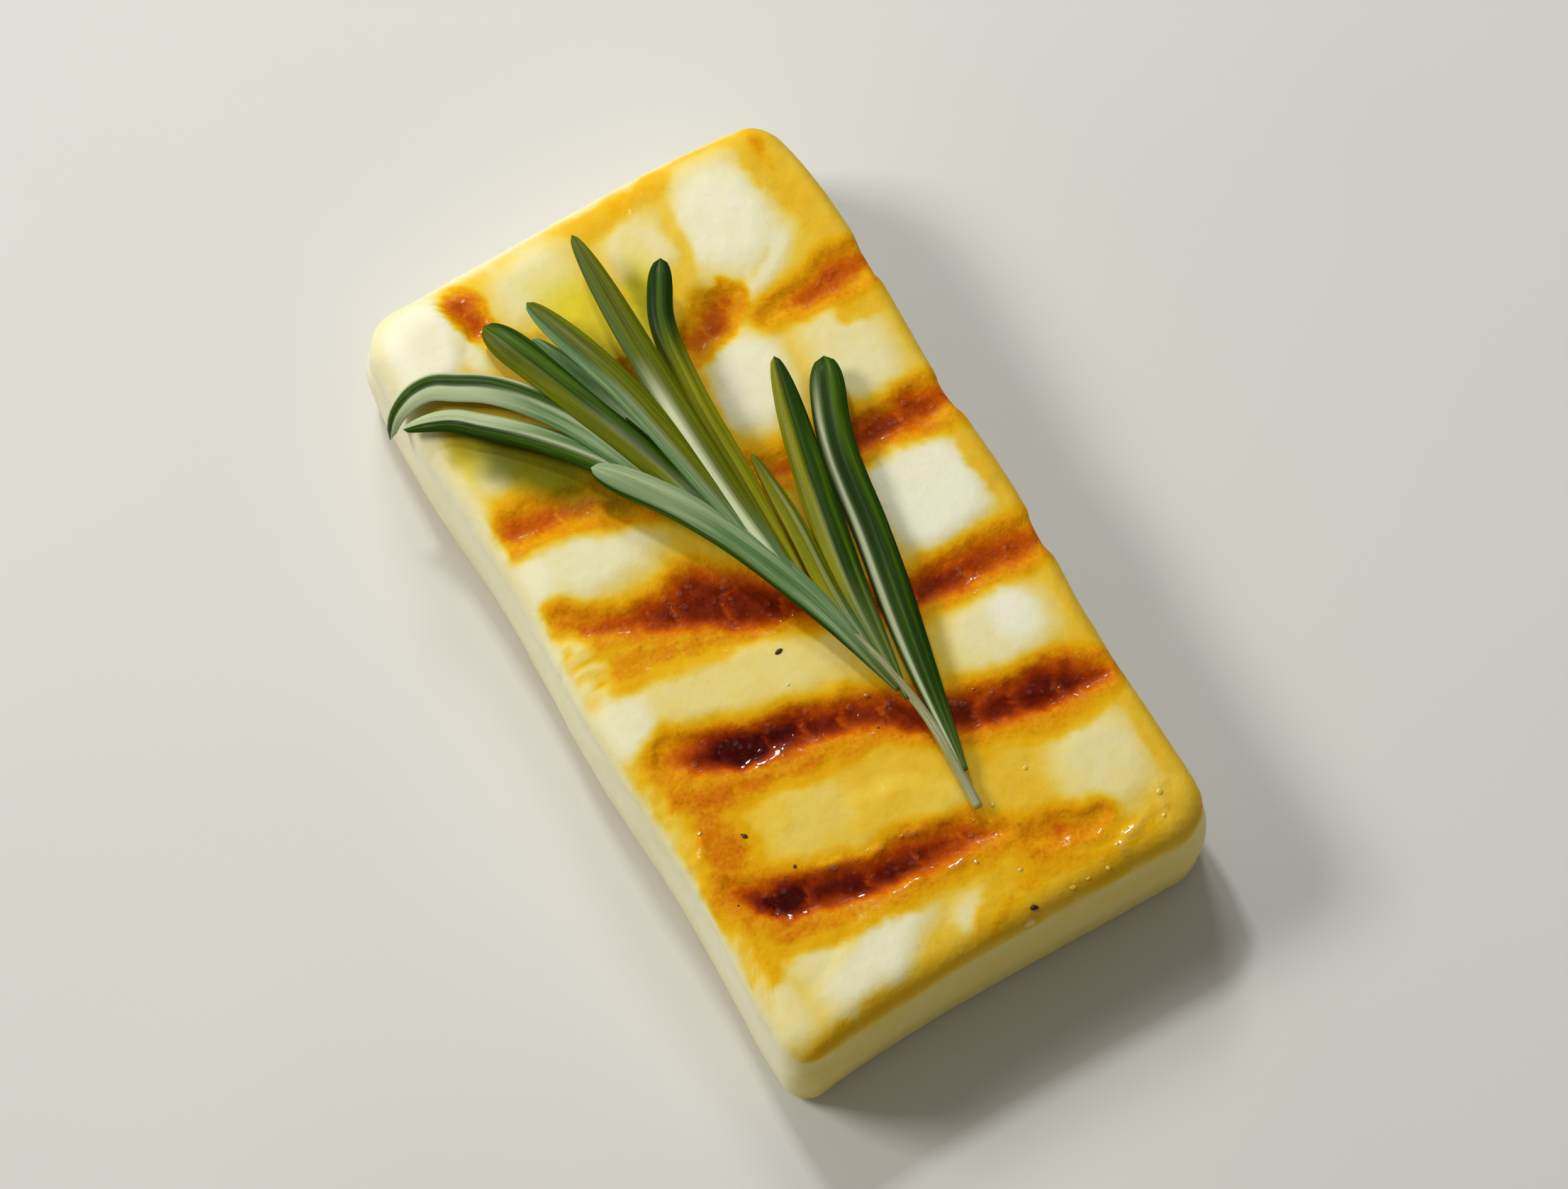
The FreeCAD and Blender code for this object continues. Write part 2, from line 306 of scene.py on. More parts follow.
class Shop:
    """A material under construction and the helpers that fill its node tree."""

    def __init__(self, name: str) -> None:
        """Start an empty material with an output node.

        Args:
            name: the material's name.
        """
        self.material = bpy.data.materials.new(name)
        self.material.use_nodes = True
        self.tree = self.material.node_tree
        self.tree.nodes.clear()
        self.output = self.tree.nodes.new("ShaderNodeOutputMaterial")

    def node(self, kind: str, settings: dict, *values: object, out: int = 0,
             named: Optional[dict] = None) -> Wire:
        """Add a node.

        Args:
            kind: the node's type.
            settings: its properties, set before its sockets; "stops" is a
                ramp's list of places and colours.
            values: numbers, colours or wires for its inputs in order, where
                None leaves one as it is.
            out: index of the output that is wanted.
            named: further inputs by name.

        Returns:
            The wanted output.
        """
        made = self.tree.nodes.new(kind)
        for key, value in settings.items():
            if key == "stops":
                self._set_stops(made.color_ramp, value)
            else:
                setattr(made, key, value)
        pairs = [(made.inputs[index], value) for index, value in enumerate(values)]
        pairs += [(made.inputs[key], value) for key, value in (named or {}).items()]
        for socket, value in pairs:
            if isinstance(value, Wire):
                self.tree.links.new(value.socket, socket)
            elif value is not None:
                socket.default_value = value
        return Wire(self, made.outputs[out])

    @staticmethod
    def _set_stops(ramp: bpy.types.ColorRamp, stops: Sequence[tuple]) -> None:
        """Give a ramp exactly these stops.

        Args:
            ramp: a ramp with at most as many stops.
            stops: each one's place and 0 to 255 colour.
        """
        while len(ramp.elements) < len(stops):
            ramp.elements.new(0.5)
        for element, (place, colour) in zip(ramp.elements, stops):
            element.position = place
            element.color = to_linear(colour)

    def field(self, name: str) -> Wire:
        """Read one of the mesh's own fields."""
        return self.node("ShaderNodeAttribute", {"attribute_name": name}, out=2)

    def place(self, stretch: Sequence[float] = (1.0, 1.0, 1.0), turn: float = 0.0) -> Wire:
        """Read object coordinates in millimetres.

        Args:
            stretch: scale along each axis.
            turn: turn about Z in radians.

        Returns:
            The scaled and turned coordinates.
        """
        where = self.node("ShaderNodeTexCoord", {}, out=3)
        scale = tuple(share / MM for share in stretch)
        return self.node("ShaderNodeMapping", {}, where, None, (0.0, 0.0, turn), scale)

    def noise(self, where: Wire, pitch: float, detail: float = 3.0, rough: float = 0.5,
              warp: float = 0.0) -> Wire:
        """Lay noise over the piece.

        Args:
            where: coordinates in millimetres.
            pitch: width of the coarsest lumps in millimetres.
            detail: how many finer layers are added.
            rough: strength of each layer as a share of the last.
            warp: how far the lumps are distorted.

        Returns:
            Noise from 0 to 1.
        """
        named = {"Scale": 1.0 / pitch, "Detail": detail, "Roughness": rough, "Distortion": warp}
        return self.node("ShaderNodeTexNoise", {}, where, named=named)

    def cells(self, where: Wire, pitch: float) -> Wire:
        """Distance to the nearest of scattered points about pitch apart."""
        return self.node("ShaderNodeTexVoronoi", {}, where, named={"Scale": 1.0 / pitch})

    def ramp(self, value: Wire, stops: Sequence[tuple]) -> Wire:
        """Colour of a value along stops of place and 0 to 255 colour."""
        return self.node("ShaderNodeValToRGB", {"stops": stops}, value)

    def mix(self, share: Union[Wire, float], first: object, second: object) -> Wire:
        """Mix two colours, each a wire or 0 to 255 values.

        Args:
            share: how much of the second colour is taken.
            first: colour at a share of 0.
            second: colour at a share of 1.

        Returns:
            The mixed colour.
        """
        ends = [end if isinstance(end, Wire) else to_linear(end) for end in (first, second)]
        node = self.tree.nodes.new("ShaderNodeMix")
        node.data_type = "RGBA"
        sockets = {"Factor_Float": share, "A_Color": ends[0], "B_Color": ends[1]}
        for socket in node.inputs:
            value = sockets.get(socket.identifier)
            if isinstance(value, Wire):
                self.tree.links.new(value.socket, socket)
            elif value is not None:
                socket.default_value = value
        picked = [socket for socket in node.outputs if socket.identifier == "Result_Color"]
        return Wire(self, picked[0])

    def bump(self, height: Wire, depth: float, under: Optional[Wire] = None) -> Wire:
        """Turn a height field into a normal.

        Args:
            height: the field, from 0 to 1.
            depth: height in millimetres that a value of 1 stands for.
            under: normal that it lies on.

        Returns:
            The bumped normal.
        """
        named = {"Strength": 1.0, "Distance": depth * MM, "Height": height}
        if under is not None:
            named["Normal"] = under
        return self.node("ShaderNodeBump", {}, named=named)

    def finish(self, constants: dict, varying: dict) -> bpy.types.Material:
        """Close the material with a Principled shader.

        Args:
            constants: socket values that are the same all over.
            varying: wires for Base Color, Roughness, Coat Weight or Normal.

        Returns:
            The finished material.
        """
        shader = self.tree.nodes.new("ShaderNodeBsdfPrincipled")
        for key, value in constants.items():
            shader.inputs[key].default_value = value
        for key, wire in varying.items():
            self.tree.links.new(wire.socket, shader.inputs[key])
        self.tree.links.new(shader.outputs[0], self.output.inputs[0])
        return self.material


# ------------------------------------------------------------------ finishes
@dataclass(frozen=True)
class CheeseFinish:
    """Grilled cheese: a browning scale from cream to char, grainy and oily.

    Colours are 0 to 255 values. The needle light tint is painted light, the
    yellow-green glow that the needles throw on the cheese. The sprig shadow
    tint is painted shadow, the dark olive shade beneath the sprig. Pits are
    tiny toasted holes. The streaks are turned by so many degrees, and a wet
    finish has oil all over.
    """

    name: str = "grilled_cheese"
    wet: bool = False
    needle_light_tint: tuple = (230, 214, 48)
    sprig_shadow_tint: tuple = (96, 98, 3)
    pit_tint: tuple = (140, 60, 0)
    streak_turn: float = -18.0
    browning: tuple = (
        (0.00, (240, 237, 212)),
        (0.12, (235, 228, 184)),
        (0.24, (233, 214, 132)),
        (0.36, (232, 197, 66)),
        (0.46, (229, 176, 12)),
        (0.56, (221, 147, 2)),
        (0.66, (208, 110, 0)),
        (0.76, (184, 78, 0)),
        (0.86, (142, 46, 0)),
        (0.95, (96, 18, 0)),
        (1.00, (62, 4, 0)),
    )

    def make(self) -> bpy.types.Material:
        """Build the material from brown, grain, gloss and the sprig's painted light and shadow.

        The browning level is the brown field plus slow drift, streaks across
        the slice and specks, which are strongest where the grain is. Gloss
        brings damp patches, which are smoother, oil beads on the dark bars and
        a film on the ridges.

        Returns:
            The finished material.
        """
        shop = Shop(self.name)
        where = shop.place()
        brown, grain = shop.field("brown"), shop.field("grain")
        gloss, needle_light = shop.field("gloss"), shop.field("needle_light")
        slanted = shop.place((1.0, 0.42, 1.0), math.radians(self.streak_turn))
        drift = shop.noise(where, 4.5, 4.0, 0.55) - 0.5
        streak = shop.noise(slanted, 1.3, 4.0, 0.62, 0.6) - 0.5
        speck = shop.noise(where, 0.38, 3.0, 0.6) - 0.5
        level = brown + drift * 0.10 + streak * (grain * 0.17 + 0.035)
        level = level + speck * (grain * 0.16 + 0.015)
        colour = shop.ramp(level.clipped(), self.browning)
        # Painted light: the needles' yellow-green glow, mixed in where the cheese is pale.
        colour = shop.mix(needle_light * level.step(0.62, 0.45), colour, self.needle_light_tint)
        # Painted shadow: the sprig's dark olive shadow on the cheese, mixed over the colour.
        colour = shop.mix(shop.field("sprig_shadow"), colour, self.sprig_shadow_tint)
        pits = shop.cells(where, 0.9).step(0.30, 0.12) * grain
        colour = shop.mix(pits * 0.20, colour, self.pit_tint)
        damp = shop.noise(where, 2.2, 3.0, 0.6).step(0.46, 0.58) * gloss.step(0.15, 0.60)
        rough = (0.56 - damp * 0.36 + streak * 0.16).clipped()
        dark = level.step(0.58, 0.80)
        bead = shop.cells(where, 0.8).step(0.44, 0.18) * damp * (dark * 0.8 + 0.2)
        film = gloss.step(0.76, 0.95) * 0.9
        coat = (bead + film + damp * 0.04 + float(self.wet)).clipped()
        soft = shop.bump(shop.noise(where, 1.6, 4.0, 0.55), 0.10)
        crinkle = shop.noise(where, 0.7, 3.0, 0.55, 0.6) * (grain * 0.8 + gloss * 0.28 + 0.06)
        fine = shop.bump(crinkle, 0.12, soft)
        fine = shop.bump(bead, 0.10, fine)
        return shop.finish(
            {"Subsurface Weight": 0.25, "Subsurface Radius": (1.0, 0.55, 0.22),
             "Subsurface Scale": 0.0012, "IOR": 1.42, "Specular IOR Level": 0.06,
             "Coat Roughness": 0.05, "Coat IOR": 2.0},
            {"Base Color": colour, "Roughness": rough, "Coat Weight": coat, "Normal": fine})


@dataclass(frozen=True)
class NeedleFinish:
    """Rosemary needle: a dark or olive blade, pale seams that are partly painted highlights, and a felted
    underside.
    """

    name: str = "rosemary_needle"
    deep: tuple = ((0.30, (14, 34, 0)), (0.50, (34, 62, 0)), (0.70, (70, 100, 6)))
    olive: tuple = ((0.30, (92, 96, 0)), (0.70, (150, 148, 16)))
    felt: tuple = ((0.28, (58, 96, 44)), (0.50, (96, 130, 80)), (0.74, (164, 184, 142)))
    rib_shade: tuple = (22, 32, 3)
    rib_felt: tuple = (206, 208, 172)
    seam_and_highlight_tint: tuple = (206, 214, 172)

    def make(self) -> bpy.types.Material:
        """Build the material from the needle's own fields.

        Veins are noise drawn out along the blade. The fields olive and sage mix
        the three blade colours, pale lightens seams (partly painted highlights)
        and tips, and under marks the felted underside with its rib.

        Returns:
            The finished material.
        """
        shop = Shop(self.name)
        along, across = shop.field("along"), shop.field("across")
        under, olive, sage = shop.field("under"), shop.field("olive"), shop.field("sage")
        where = shop.place()
        mottle = shop.noise(where, 2.6, 2.0, 0.5)
        thread = shop.node("ShaderNodeCombineXYZ", {}, along * 1.6, across * 2.6,
                           shop.field("strand"))
        veins = shop.noise(thread, 1.0, 4.0, 0.6)
        blade = shop.ramp(veins, self.deep)
        blade = shop.mix(olive, blade, shop.ramp(veins, self.olive))
        felt = shop.ramp(veins, self.felt)
        blade = shop.mix(sage, blade, felt)
        rib = across.size().step(0.14, 0.02)
        blade = shop.mix(rib * 0.30 * (1.0 - sage), blade, self.rib_shade)
        # Pale seams: partly pale tissue, partly a painted highlight along the blade.
        blade = shop.mix((shop.field("pale") * (0.6 + veins * 0.7)).clipped(), blade, self.seam_and_highlight_tint)
        colour = shop.mix(under, blade, shop.mix(rib * 0.7, felt, self.rib_felt))
        rough = (0.38 + under * 0.3 + sage * 0.2 + mottle * 0.2).clipped()
        normal = shop.bump(veins, 0.06)
        return shop.finish(
            {"Subsurface Weight": 0.08, "Subsurface Radius": (0.4, 0.8, 0.2),
             "Subsurface Scale": 0.0008, "IOR": 1.45, "Specular IOR Level": 0.08,
             "Coat Weight": 0.04, "Coat Roughness": 0.2},
            {"Base Color": colour, "Roughness": rough, "Normal": normal})


@dataclass(frozen=True)
class StemFinish:
    """Rosemary stem: pale grey-green bark with fine lengthwise ridges."""

    name: str = "rosemary_stem"
    bark: tuple = ((0.3, (112, 112, 66)), (0.5, (160, 160, 112)), (0.75, (214, 214, 176)))
    cut_tint: tuple = (196, 186, 128)

    def make(self) -> bpy.types.Material:
        """Build the material from the fields along and across.

        Ridges are noise drawn out along the stem; its cut end is paler wood.

        Returns:
            The finished material.
        """
        shop = Shop(self.name)
        along, across = shop.field("along"), shop.field("across")
        thread = shop.node("ShaderNodeCombineXYZ", {}, along * 6.0, across * 5.0, 0.0)
        ridges = shop.noise(thread, 1.0, 4.0, 0.6)
        bark = shop.ramp(ridges, self.bark)
        cut = along.step(0.02, 0.0)
        colour = shop.mix(cut, bark, self.cut_tint)
        return shop.finish({"Roughness": 0.5, "IOR": 1.45},
                           {"Base Color": colour, "Normal": shop.bump(ridges, 0.12)})


@dataclass(frozen=True)
class CharFinish:
    """Burnt crumbs: a nearly black, slightly shiny brown."""

    name: str = "burnt_crumb"
    char: tuple = ((0.35, (26, 14, 6)), (0.65, (86, 44, 12)))

    def make(self) -> bpy.types.Material:
        """Build the material from noise alone.

        Returns:
            The finished material.
        """
        shop = Shop(self.name)
        lumps = shop.noise(shop.place(), 0.3, 3.0)
        colour = shop.ramp(lumps, self.char)
        return shop.finish({"Roughness": 0.4, "IOR": 1.45},
                           {"Base Color": colour, "Normal": shop.bump(lumps, 0.1)})


# ----------------------------------------------------------- browned surface
@dataclass(frozen=True)
class Pillow:
    """A soft-edged island on the top, mostly where the cheese swelled pale.

    Its middle, half sizes and rise are in millimetres and its turn in degrees;
    level is the browning or strength inside it, and soft is how far its edge
    eases to either side, as a share of its half sizes.
    """

    x: float
    y: float
    half_x: float
    half_y: float
    turn: float
    level: float
    rise: float = 0.25
    soft: float = 0.46

    def weight(self, x: Array, y: Array, wide: float = 1.0) -> Array:
        """Cover from 0 outside to 1 inside a turned, slightly squared ellipse.

        The distance is (|a|^2.4 + |b|^2.4)^(1/2.4) of the turned offsets a
        and b over the two half sizes; cover eases out as it passes 1.

        Args:
            x: places along the slice.
            y: places across it.
            wide: how many times further the cover eases out.

        Returns:
            The cover at each place.
        """
        angle = math.radians(self.turn)
        shift_x, shift_y = x - self.x, y - self.y
        along = (shift_x * math.cos(angle) + shift_y * math.sin(angle)) / self.half_x
        across = (shift_y * math.cos(angle) - shift_x * math.sin(angle)) / self.half_y
        reach = (np.abs(along) ** 2.4 + np.abs(across) ** 2.4) ** (1.0 / 2.4)
        spread = self.soft * wide
        return smooth_step(1.0 + spread, 1.0 - self.soft, reach)


@dataclass(frozen=True)
class Stroke:
    """A browned band: points of x, y, half width and browning level.

    Its halo is this wide, in millimetres, and at most this brown; ragged is
    how far its edge wanders, and fade how much paler its edge is than its
    middle.
    """

    points: tuple
    halo: float = 1.1
    halo_level: float = 0.54
    ragged: float = 0.35
    fade: float = 0.22

    def lay(self, x: Array, y: Array, rough: Array) -> tuple:
        """Find how brown the band is at each place.

        The nearest point of each span gives a distance, a half width and a
        level, which fades from the band's middle to its edge. The core is full
        inside the half width and eases out over its edge; the glow eases out
        over the halo's width.

        Args:
            x: places along the slice.
            y: places across it.
            rough: noise from -1 to 1 that makes the edge ragged.

        Returns:
            The core's browning level, its cover, the glow's cover and how deep
            the grill pressed, which eases over twice the core's edge.
        """
        level = np.zeros(len(x))
        core = np.zeros(len(x))
        glow = np.zeros(len(x))
        dip = np.zeros(len(x))
        for (x0, y0, w0, l0), (x1, y1, w1, l1) in zip(self.points[:-1], self.points[1:]):
            run_x, run_y = x1 - x0, y1 - y0
            share = ((x - x0) * run_x + (y - y0) * run_y) / (run_x ** 2 + run_y ** 2)
            share = np.clip(share, 0.0, 1.0)
            gap = np.hypot(x - x0 - share * run_x, y - y0 - share * run_y)
            gap = gap + self.ragged * rough - blend(w0, w1, share)
            cover = smooth_step(0.5, -0.7, gap)
            pale = self.fade * smooth_step(-1.7, 0.1, gap)
            level = np.where(cover > core, blend(l0, l1, share) - pale, level)
            core = np.maximum(core, cover)
            glow = np.maximum(glow, smooth_step(self.halo, 0.0, gap))
            dip = np.maximum(dip, smooth_step(0.9, -0.9, gap))
        return level, core, glow, dip


# Pale islands, roughly from the far end to the near end.
PILLOWS = (
    Pillow(-29.4, 11.4, 4.9, 3.9, -14.0, 0.05, 0.32),
    Pillow(-24.4, 12.6, 3.4, 1.2, -56.0, 0.13, 0.14),
    Pillow(-30.7, 4.2, 2.5, 2.8, 0.0, 0.18, 0.2),
    Pillow(-32.6, -5.2, 2.9, 3.6, 0.0, 0.17, 0.2),
    Pillow(-32.8, -16.8, 4.6, 4.4, 0.0, 0.0, 0.34, 0.3),
    Pillow(-29.6, -12.6, 2.1, 1.0, 20.0, 0.14, 0.1),
    Pillow(-19.6, -16.2, 1.7, 1.6, 0.0, 0.18, 0.15),
    Pillow(-13.6, 14.8, 4.5, 3.4, 0.0, 0.15, 0.25),
    Pillow(-15.6, 6.3, 4.3, 3.2, -12.0, 0.03, 0.26),
    Pillow(-0.2, 14.2, 4.5, 4.7, 0.0, 0.0, 0.36, 0.3),
    Pillow(-9.4, -12.8, 3.3, 5.2, -8.0, 0.12, 0.3),
    Pillow(-9.6, -18.2, 3.0, 2.0, 0.0, 0.08, 0.1),
    Pillow(13.2, 13.0, 3.1, 4.3, 0.0, 0.15, 0.22),
    Pillow(12.5, 14.8, 1.9, 2.0, 0.0, 0.02, 0.12),
    Pillow(6.2, -8.2, 2.9, 9.6, -17.0, 0.26, 0.3),
    Pillow(4.8, -17.8, 2.9, 2.6, 0.0, 0.08, 0.12),
    Pillow(27.0, 14.6, 4.0, 4.0, 0.0, 0.19, 0.26),
    Pillow(22.4, -1.7, 2.3, 4.2, -22.0, 0.37, 0.26, 0.3),
    Pillow(19.8, -8.6, 3.5, 3.3, 0.0, 0.32, 0.16),
    Pillow(-21.5, -19.2, 6.0, 1.1, 0.0, 0.16, 0.0),
    Pillow(33.6, -0.6, 2.1, 1.8, 0.0, 0.16, 0.12),
    Pillow(32.0, -9.8, 2.5, 6.2, 20.0, 0.05, 0.3),
    Pillow(30.0, -13.0, 1.9, 3.4, 10.0, 0.18, 0.1),
    Pillow(32.4, -18.6, 2.8, 1.6, 0.0, 0.18, 0.1),
)

# The five grill bars, from the far end: the first and the last are in pieces.
BARS = (
    Stroke(((-20.7, 20.6, 1.5, 0.70), (-20.6, 16.5, 1.8, 0.78), (-20.2, 13.2, 1.5, 0.72),
            (-20.1, 10.4, 0.9, 0.60)), 1.5, 0.55),
    Stroke(((-23.4, 9.6, 0.6, 0.60), (-23.0, 8.0, 1.5, 0.72), (-22.3, 6.2, 2.3, 0.75),
            (-21.4, 4.0, 1.8, 0.72), (-20.9, 2.6, 0.8, 0.62)), 0.8, 0.54, 0.6),
    Stroke(((-22.0, -2.0, 0.8, 0.56), (-24.5, -8.0, 1.0, 0.56)), 0.9),
    Stroke(((-35.2, -11.2, 0.5, 0.66), (-33.6, -11.3, 1.6, 0.81), (-31.6, -10.9, 1.4, 0.79)), 0.5, 0.5),
    Stroke(((-6.8, 20.8, 1.7, 0.70), (-7.0, 16.5, 1.9, 0.85), (-7.2, 12.0, 1.9, 0.85),
            (-7.4, 8.5, 1.6, 0.82), (-8.6, 3.0, 1.3, 0.70), (-11.0, -5.0, 1.6, 0.66),
            (-12.8, -9.5, 1.6, 0.64), (-13.9, -12.6, 1.7, 0.72), (-14.4, -17.4, 1.6, 0.76)), 1.9, 0.56),
    Stroke(((7.4, 20.6, 1.4, 0.70), (7.4, 17.5, 1.6, 0.84), (7.3, 14.0, 1.6, 0.87),
            (7.0, 9.0, 1.6, 0.87), (5.6, 4.0, 1.5, 0.84), (2.6, -0.5, 1.8, 0.90),
            (0.7, -3.6, 2.4, 0.91), (-1.7, -7.2, 2.8, 0.93), (-1.9, -10.0, 1.8, 0.92),
            (-2.5, -12.8, 1.2, 0.86), (-3.6, -15.2, 1.4, 0.76), (-5.0, -17.6, 1.5, 0.67)), 1.7, 0.57),
    Stroke(((20.2, 18.6, 1.1, 0.84), (19.6, 15.5, 1.9, 0.98), (19.1, 12.0, 2.1, 0.95),
            (18.4, 8.8, 1.9, 0.95), (17.2, 5.5, 1.8, 0.92), (14.9, 2.2, 1.9, 0.89),
            (13.6, -0.8, 2.0, 0.90), (12.6, -4.2, 1.8, 0.94), (11.9, -7.5, 1.7, 1.02),
            (11.3, -11.0, 1.9, 1.08), (10.2, -13.7, 1.5, 0.94), (9.2, -15.8, 1.6, 0.68)), 2.0, 0.58),
    Stroke(((30.8, 12.0, 0.9, 0.60), (30.5, 8.6, 1.4, 0.74), (30.0, 6.2, 1.0, 0.66)), 1.9, 0.56),
    Stroke(((28.2, 4.4, 0.6, 0.74), (27.0, 2.2, 1.3, 0.86), (26.7, -2.0, 1.7, 0.92),
            (26.4, -6.4, 1.8, 0.97), (25.4, -10.8, 1.8, 0.97), (24.3, -13.8, 1.8, 1.04),
            (23.3, -15.4, 1.6, 0.98), (21.5, -17.0, 1.1, 0.70)), 2.0, 0.58),
)

# Golden borders, and the toasted bands beside the bars and between their ends.
GLOWS = (
    Stroke(((-35.2, 8.4, 0.6, 0.54), (-34.9, 4.0, 0.9, 0.58), (-34.6, 0.8, 1.0, 0.58)), 1.2, 0.44, 0.5),
    Stroke(((-34.4, 17.0, 1.2, 0.64), (-31.4, 17.2, 0.8, 0.58), (-24.0, 18.3, 0.5, 0.48)), 1.2, 0.42, 0.5),
    Stroke(((-36.6, 15.0, 0.4, 0.5), (-36.9, 10.0, 0.4, 0.48)), 0.9, 0.42, 0.5),
    Stroke(((-20.6, 2.8, 0.2, 0.58), (-15.0, 2.1, 0.3, 0.62), (-10.4, 2.2, 0.3, 0.64)), 0.8, 0.42, 0.3),
    Stroke(((-25.3, 13.2, 0.1, 0.32), (-22.8, 9.3, 0.15, 0.36)), 0.4, 0.22, 0.2),
    Stroke(((-33.2, 7.8, 0.2, 0.42), (-25.0, 6.2, 0.3, 0.42)), 0.8, 0.36, 0.3),
    Stroke(((-17.3, 19.4, 0.9, 0.53), (-17.2, 16.5, 0.9, 0.51)), 0.9, 0.42, 0.5),
    Stroke(((-8.6, 19.4, 0.4, 0.50), (8.0, 19.6, 0.4, 0.49), (30.0, 19.6, 0.6, 0.47)), 0.8, 0.40, 0.5),
    Stroke(((2.4, -5.0, 1.2, 0.61), (1.6, -10.0, 1.6, 0.60), (0.2, -15.4, 2.2, 0.56)), 1.2, 0.46, 0.6),
    Stroke(((15.8, 1.0, 0.8, 0.62), (15.4, -6.0, 1.0, 0.65), (14.2, -12.0, 1.6, 0.65),
            (13.2, -16.6, 2.4, 0.60)), 1.0, 0.48, 0.6),
    Stroke(((14.0, -16.2, 2.0, 0.61), (19.0, -15.8, 2.4, 0.63), (22.0, -17.0, 1.8, 0.63),
            (29.0, -18.2, 1.0, 0.52)), 1.0, 0.48, 0.6),
    Stroke(((28.9, 2.0, 1.0, 0.62), (28.9, -5.0, 1.2, 0.62), (28.2, -10.0, 1.4, 0.62),
            (26.8, -15.6, 1.9, 0.57)), 1.2, 0.48, 0.6),
    Stroke(((36.6, -15.2, 0.7, 0.55), (37.6, -17.8, 1.2, 0.64)), 0.9, 0.46, 0.4),
    Stroke(((22.6, 18.5, 0.5, 0.60), (22.4, 12.0, 0.7, 0.56), (21.6, 7.0, 0.6, 0.52)), 0.9, 0.45, 0.5),
    Stroke(((34.0, 14.0, 1.4, 0.49), (33.0, 4.0, 2.2, 0.50), (36.4, -3.0, 1.0, 0.49),
            (37.0, -12.0, 1.2, 0.47)), 1.2, 0.44, 0.4),
)

# Painted light: the yellow-green glow that the needles throw on the cheese.
PAINTED_NEEDLE_LIGHT = (
    Pillow(-27.6, -3.4, 4.6, 2.5, 10.0, 0.8, 0.0, 0.6),
    Pillow(-25.0, 1.6, 5.4, 1.4, -20.0, 1.0, 0.0, 0.6),
    Pillow(-22.0, -16.6, 2.4, 2.2, 0.0, 0.5),
    Pillow(-15.5, 1.4, 7.0, 0.9, 0.0, 0.5),
)

# Crinkles of melted crust, which stand up and hold oil.
RIDGES = (
    Stroke(((33.0, 15.8, 0.2, 1.0), (33.4, 13.2, 0.3, 1.0), (34.6, 11.6, 0.3, 1.0),
            (36.4, 9.8, 0.3, 1.0), (36.6, 7.6, 0.3, 1.0), (36.1, 4.8, 0.3, 1.0),
            (36.4, 0.4, 0.25, 1.0), (37.0, -5.0, 0.2, 1.0)), 0.3, 0.0, 0.5),
    Stroke(((25.4, 1.0, 0.2, 1.0), (24.7, -2.8, 0.3, 1.0), (24.3, -6.4, 0.3, 1.0),
            (23.6, -9.6, 0.2, 1.0)), 0.3, 0.0, 0.4),
    Stroke(((28.5, 3.8, 0.15, 1.0), (28.7, -1.0, 0.2, 1.0), (28.2, -6.0, 0.2, 1.0)), 0.3, 0.0, 0.4),
    Stroke(((13.4, -5.4, 0.15, 1.0), (13.1, -8.0, 0.2, 1.0), (13.0, -10.0, 0.15, 1.0)), 0.3, 0.0, 0.4),
    Stroke(((14.2, -16.0, 0.15, 1.0), (18.0, -17.8, 0.2, 1.0)), 0.3, 0.0, 0.3),
    Stroke(((31.0, 18.0, 0.15, 1.0), (33.6, 17.0, 0.2, 1.0)), 0.3, 0.0, 0.3),
    Stroke(((9.8, -18.0, 0.2, 1.0), (16.0, -19.0, 0.25, 1.0), (23.0, -19.4, 0.25, 1.0),
            (30.0, -19.6, 0.2, 1.0)), 0.3, 0.0, 0.6),
)

# Bubbly, paler crust along the -y edge.
FOAM = (
    Pillow(-1.0, -18.3, 3.6, 1.7, 0.0, 1.0),
    Pillow(28.0, -19.4, 3.6, 1.0, 0.0, 0.8),
    Pillow(14.0, -18.8, 4.0, 0.9, 0.0, 0.6),
)

# Painted shadow: the dark olive shadow that the sprig's needles cast on the cheese.
PAINTED_SPRIG_SHADOWS = (
    Pillow(-18.4, -12.8, 5.8, 2.6, 38.0, 0.92, 0.0, 0.5),
    Pillow(-14.0, -8.6, 3.0, 1.8, 30.0, 0.7, 0.0, 0.5),
    Pillow(-22.4, -16.0, 2.0, 2.6, -30.0, 0.6, 0.0, 0.5),
    Pillow(-26.0, 1.9, 3.4, 0.8, -12.0, 0.35, 0.0, 0.5),
)


def strongest(spots: Sequence[Pillow], x: Array, y: Array) -> Array:
    """Highest of the spots' levels at each place, each weighed by its cover."""
    return np.max([spot.level * spot.weight(x, y) for spot in spots], axis=0)


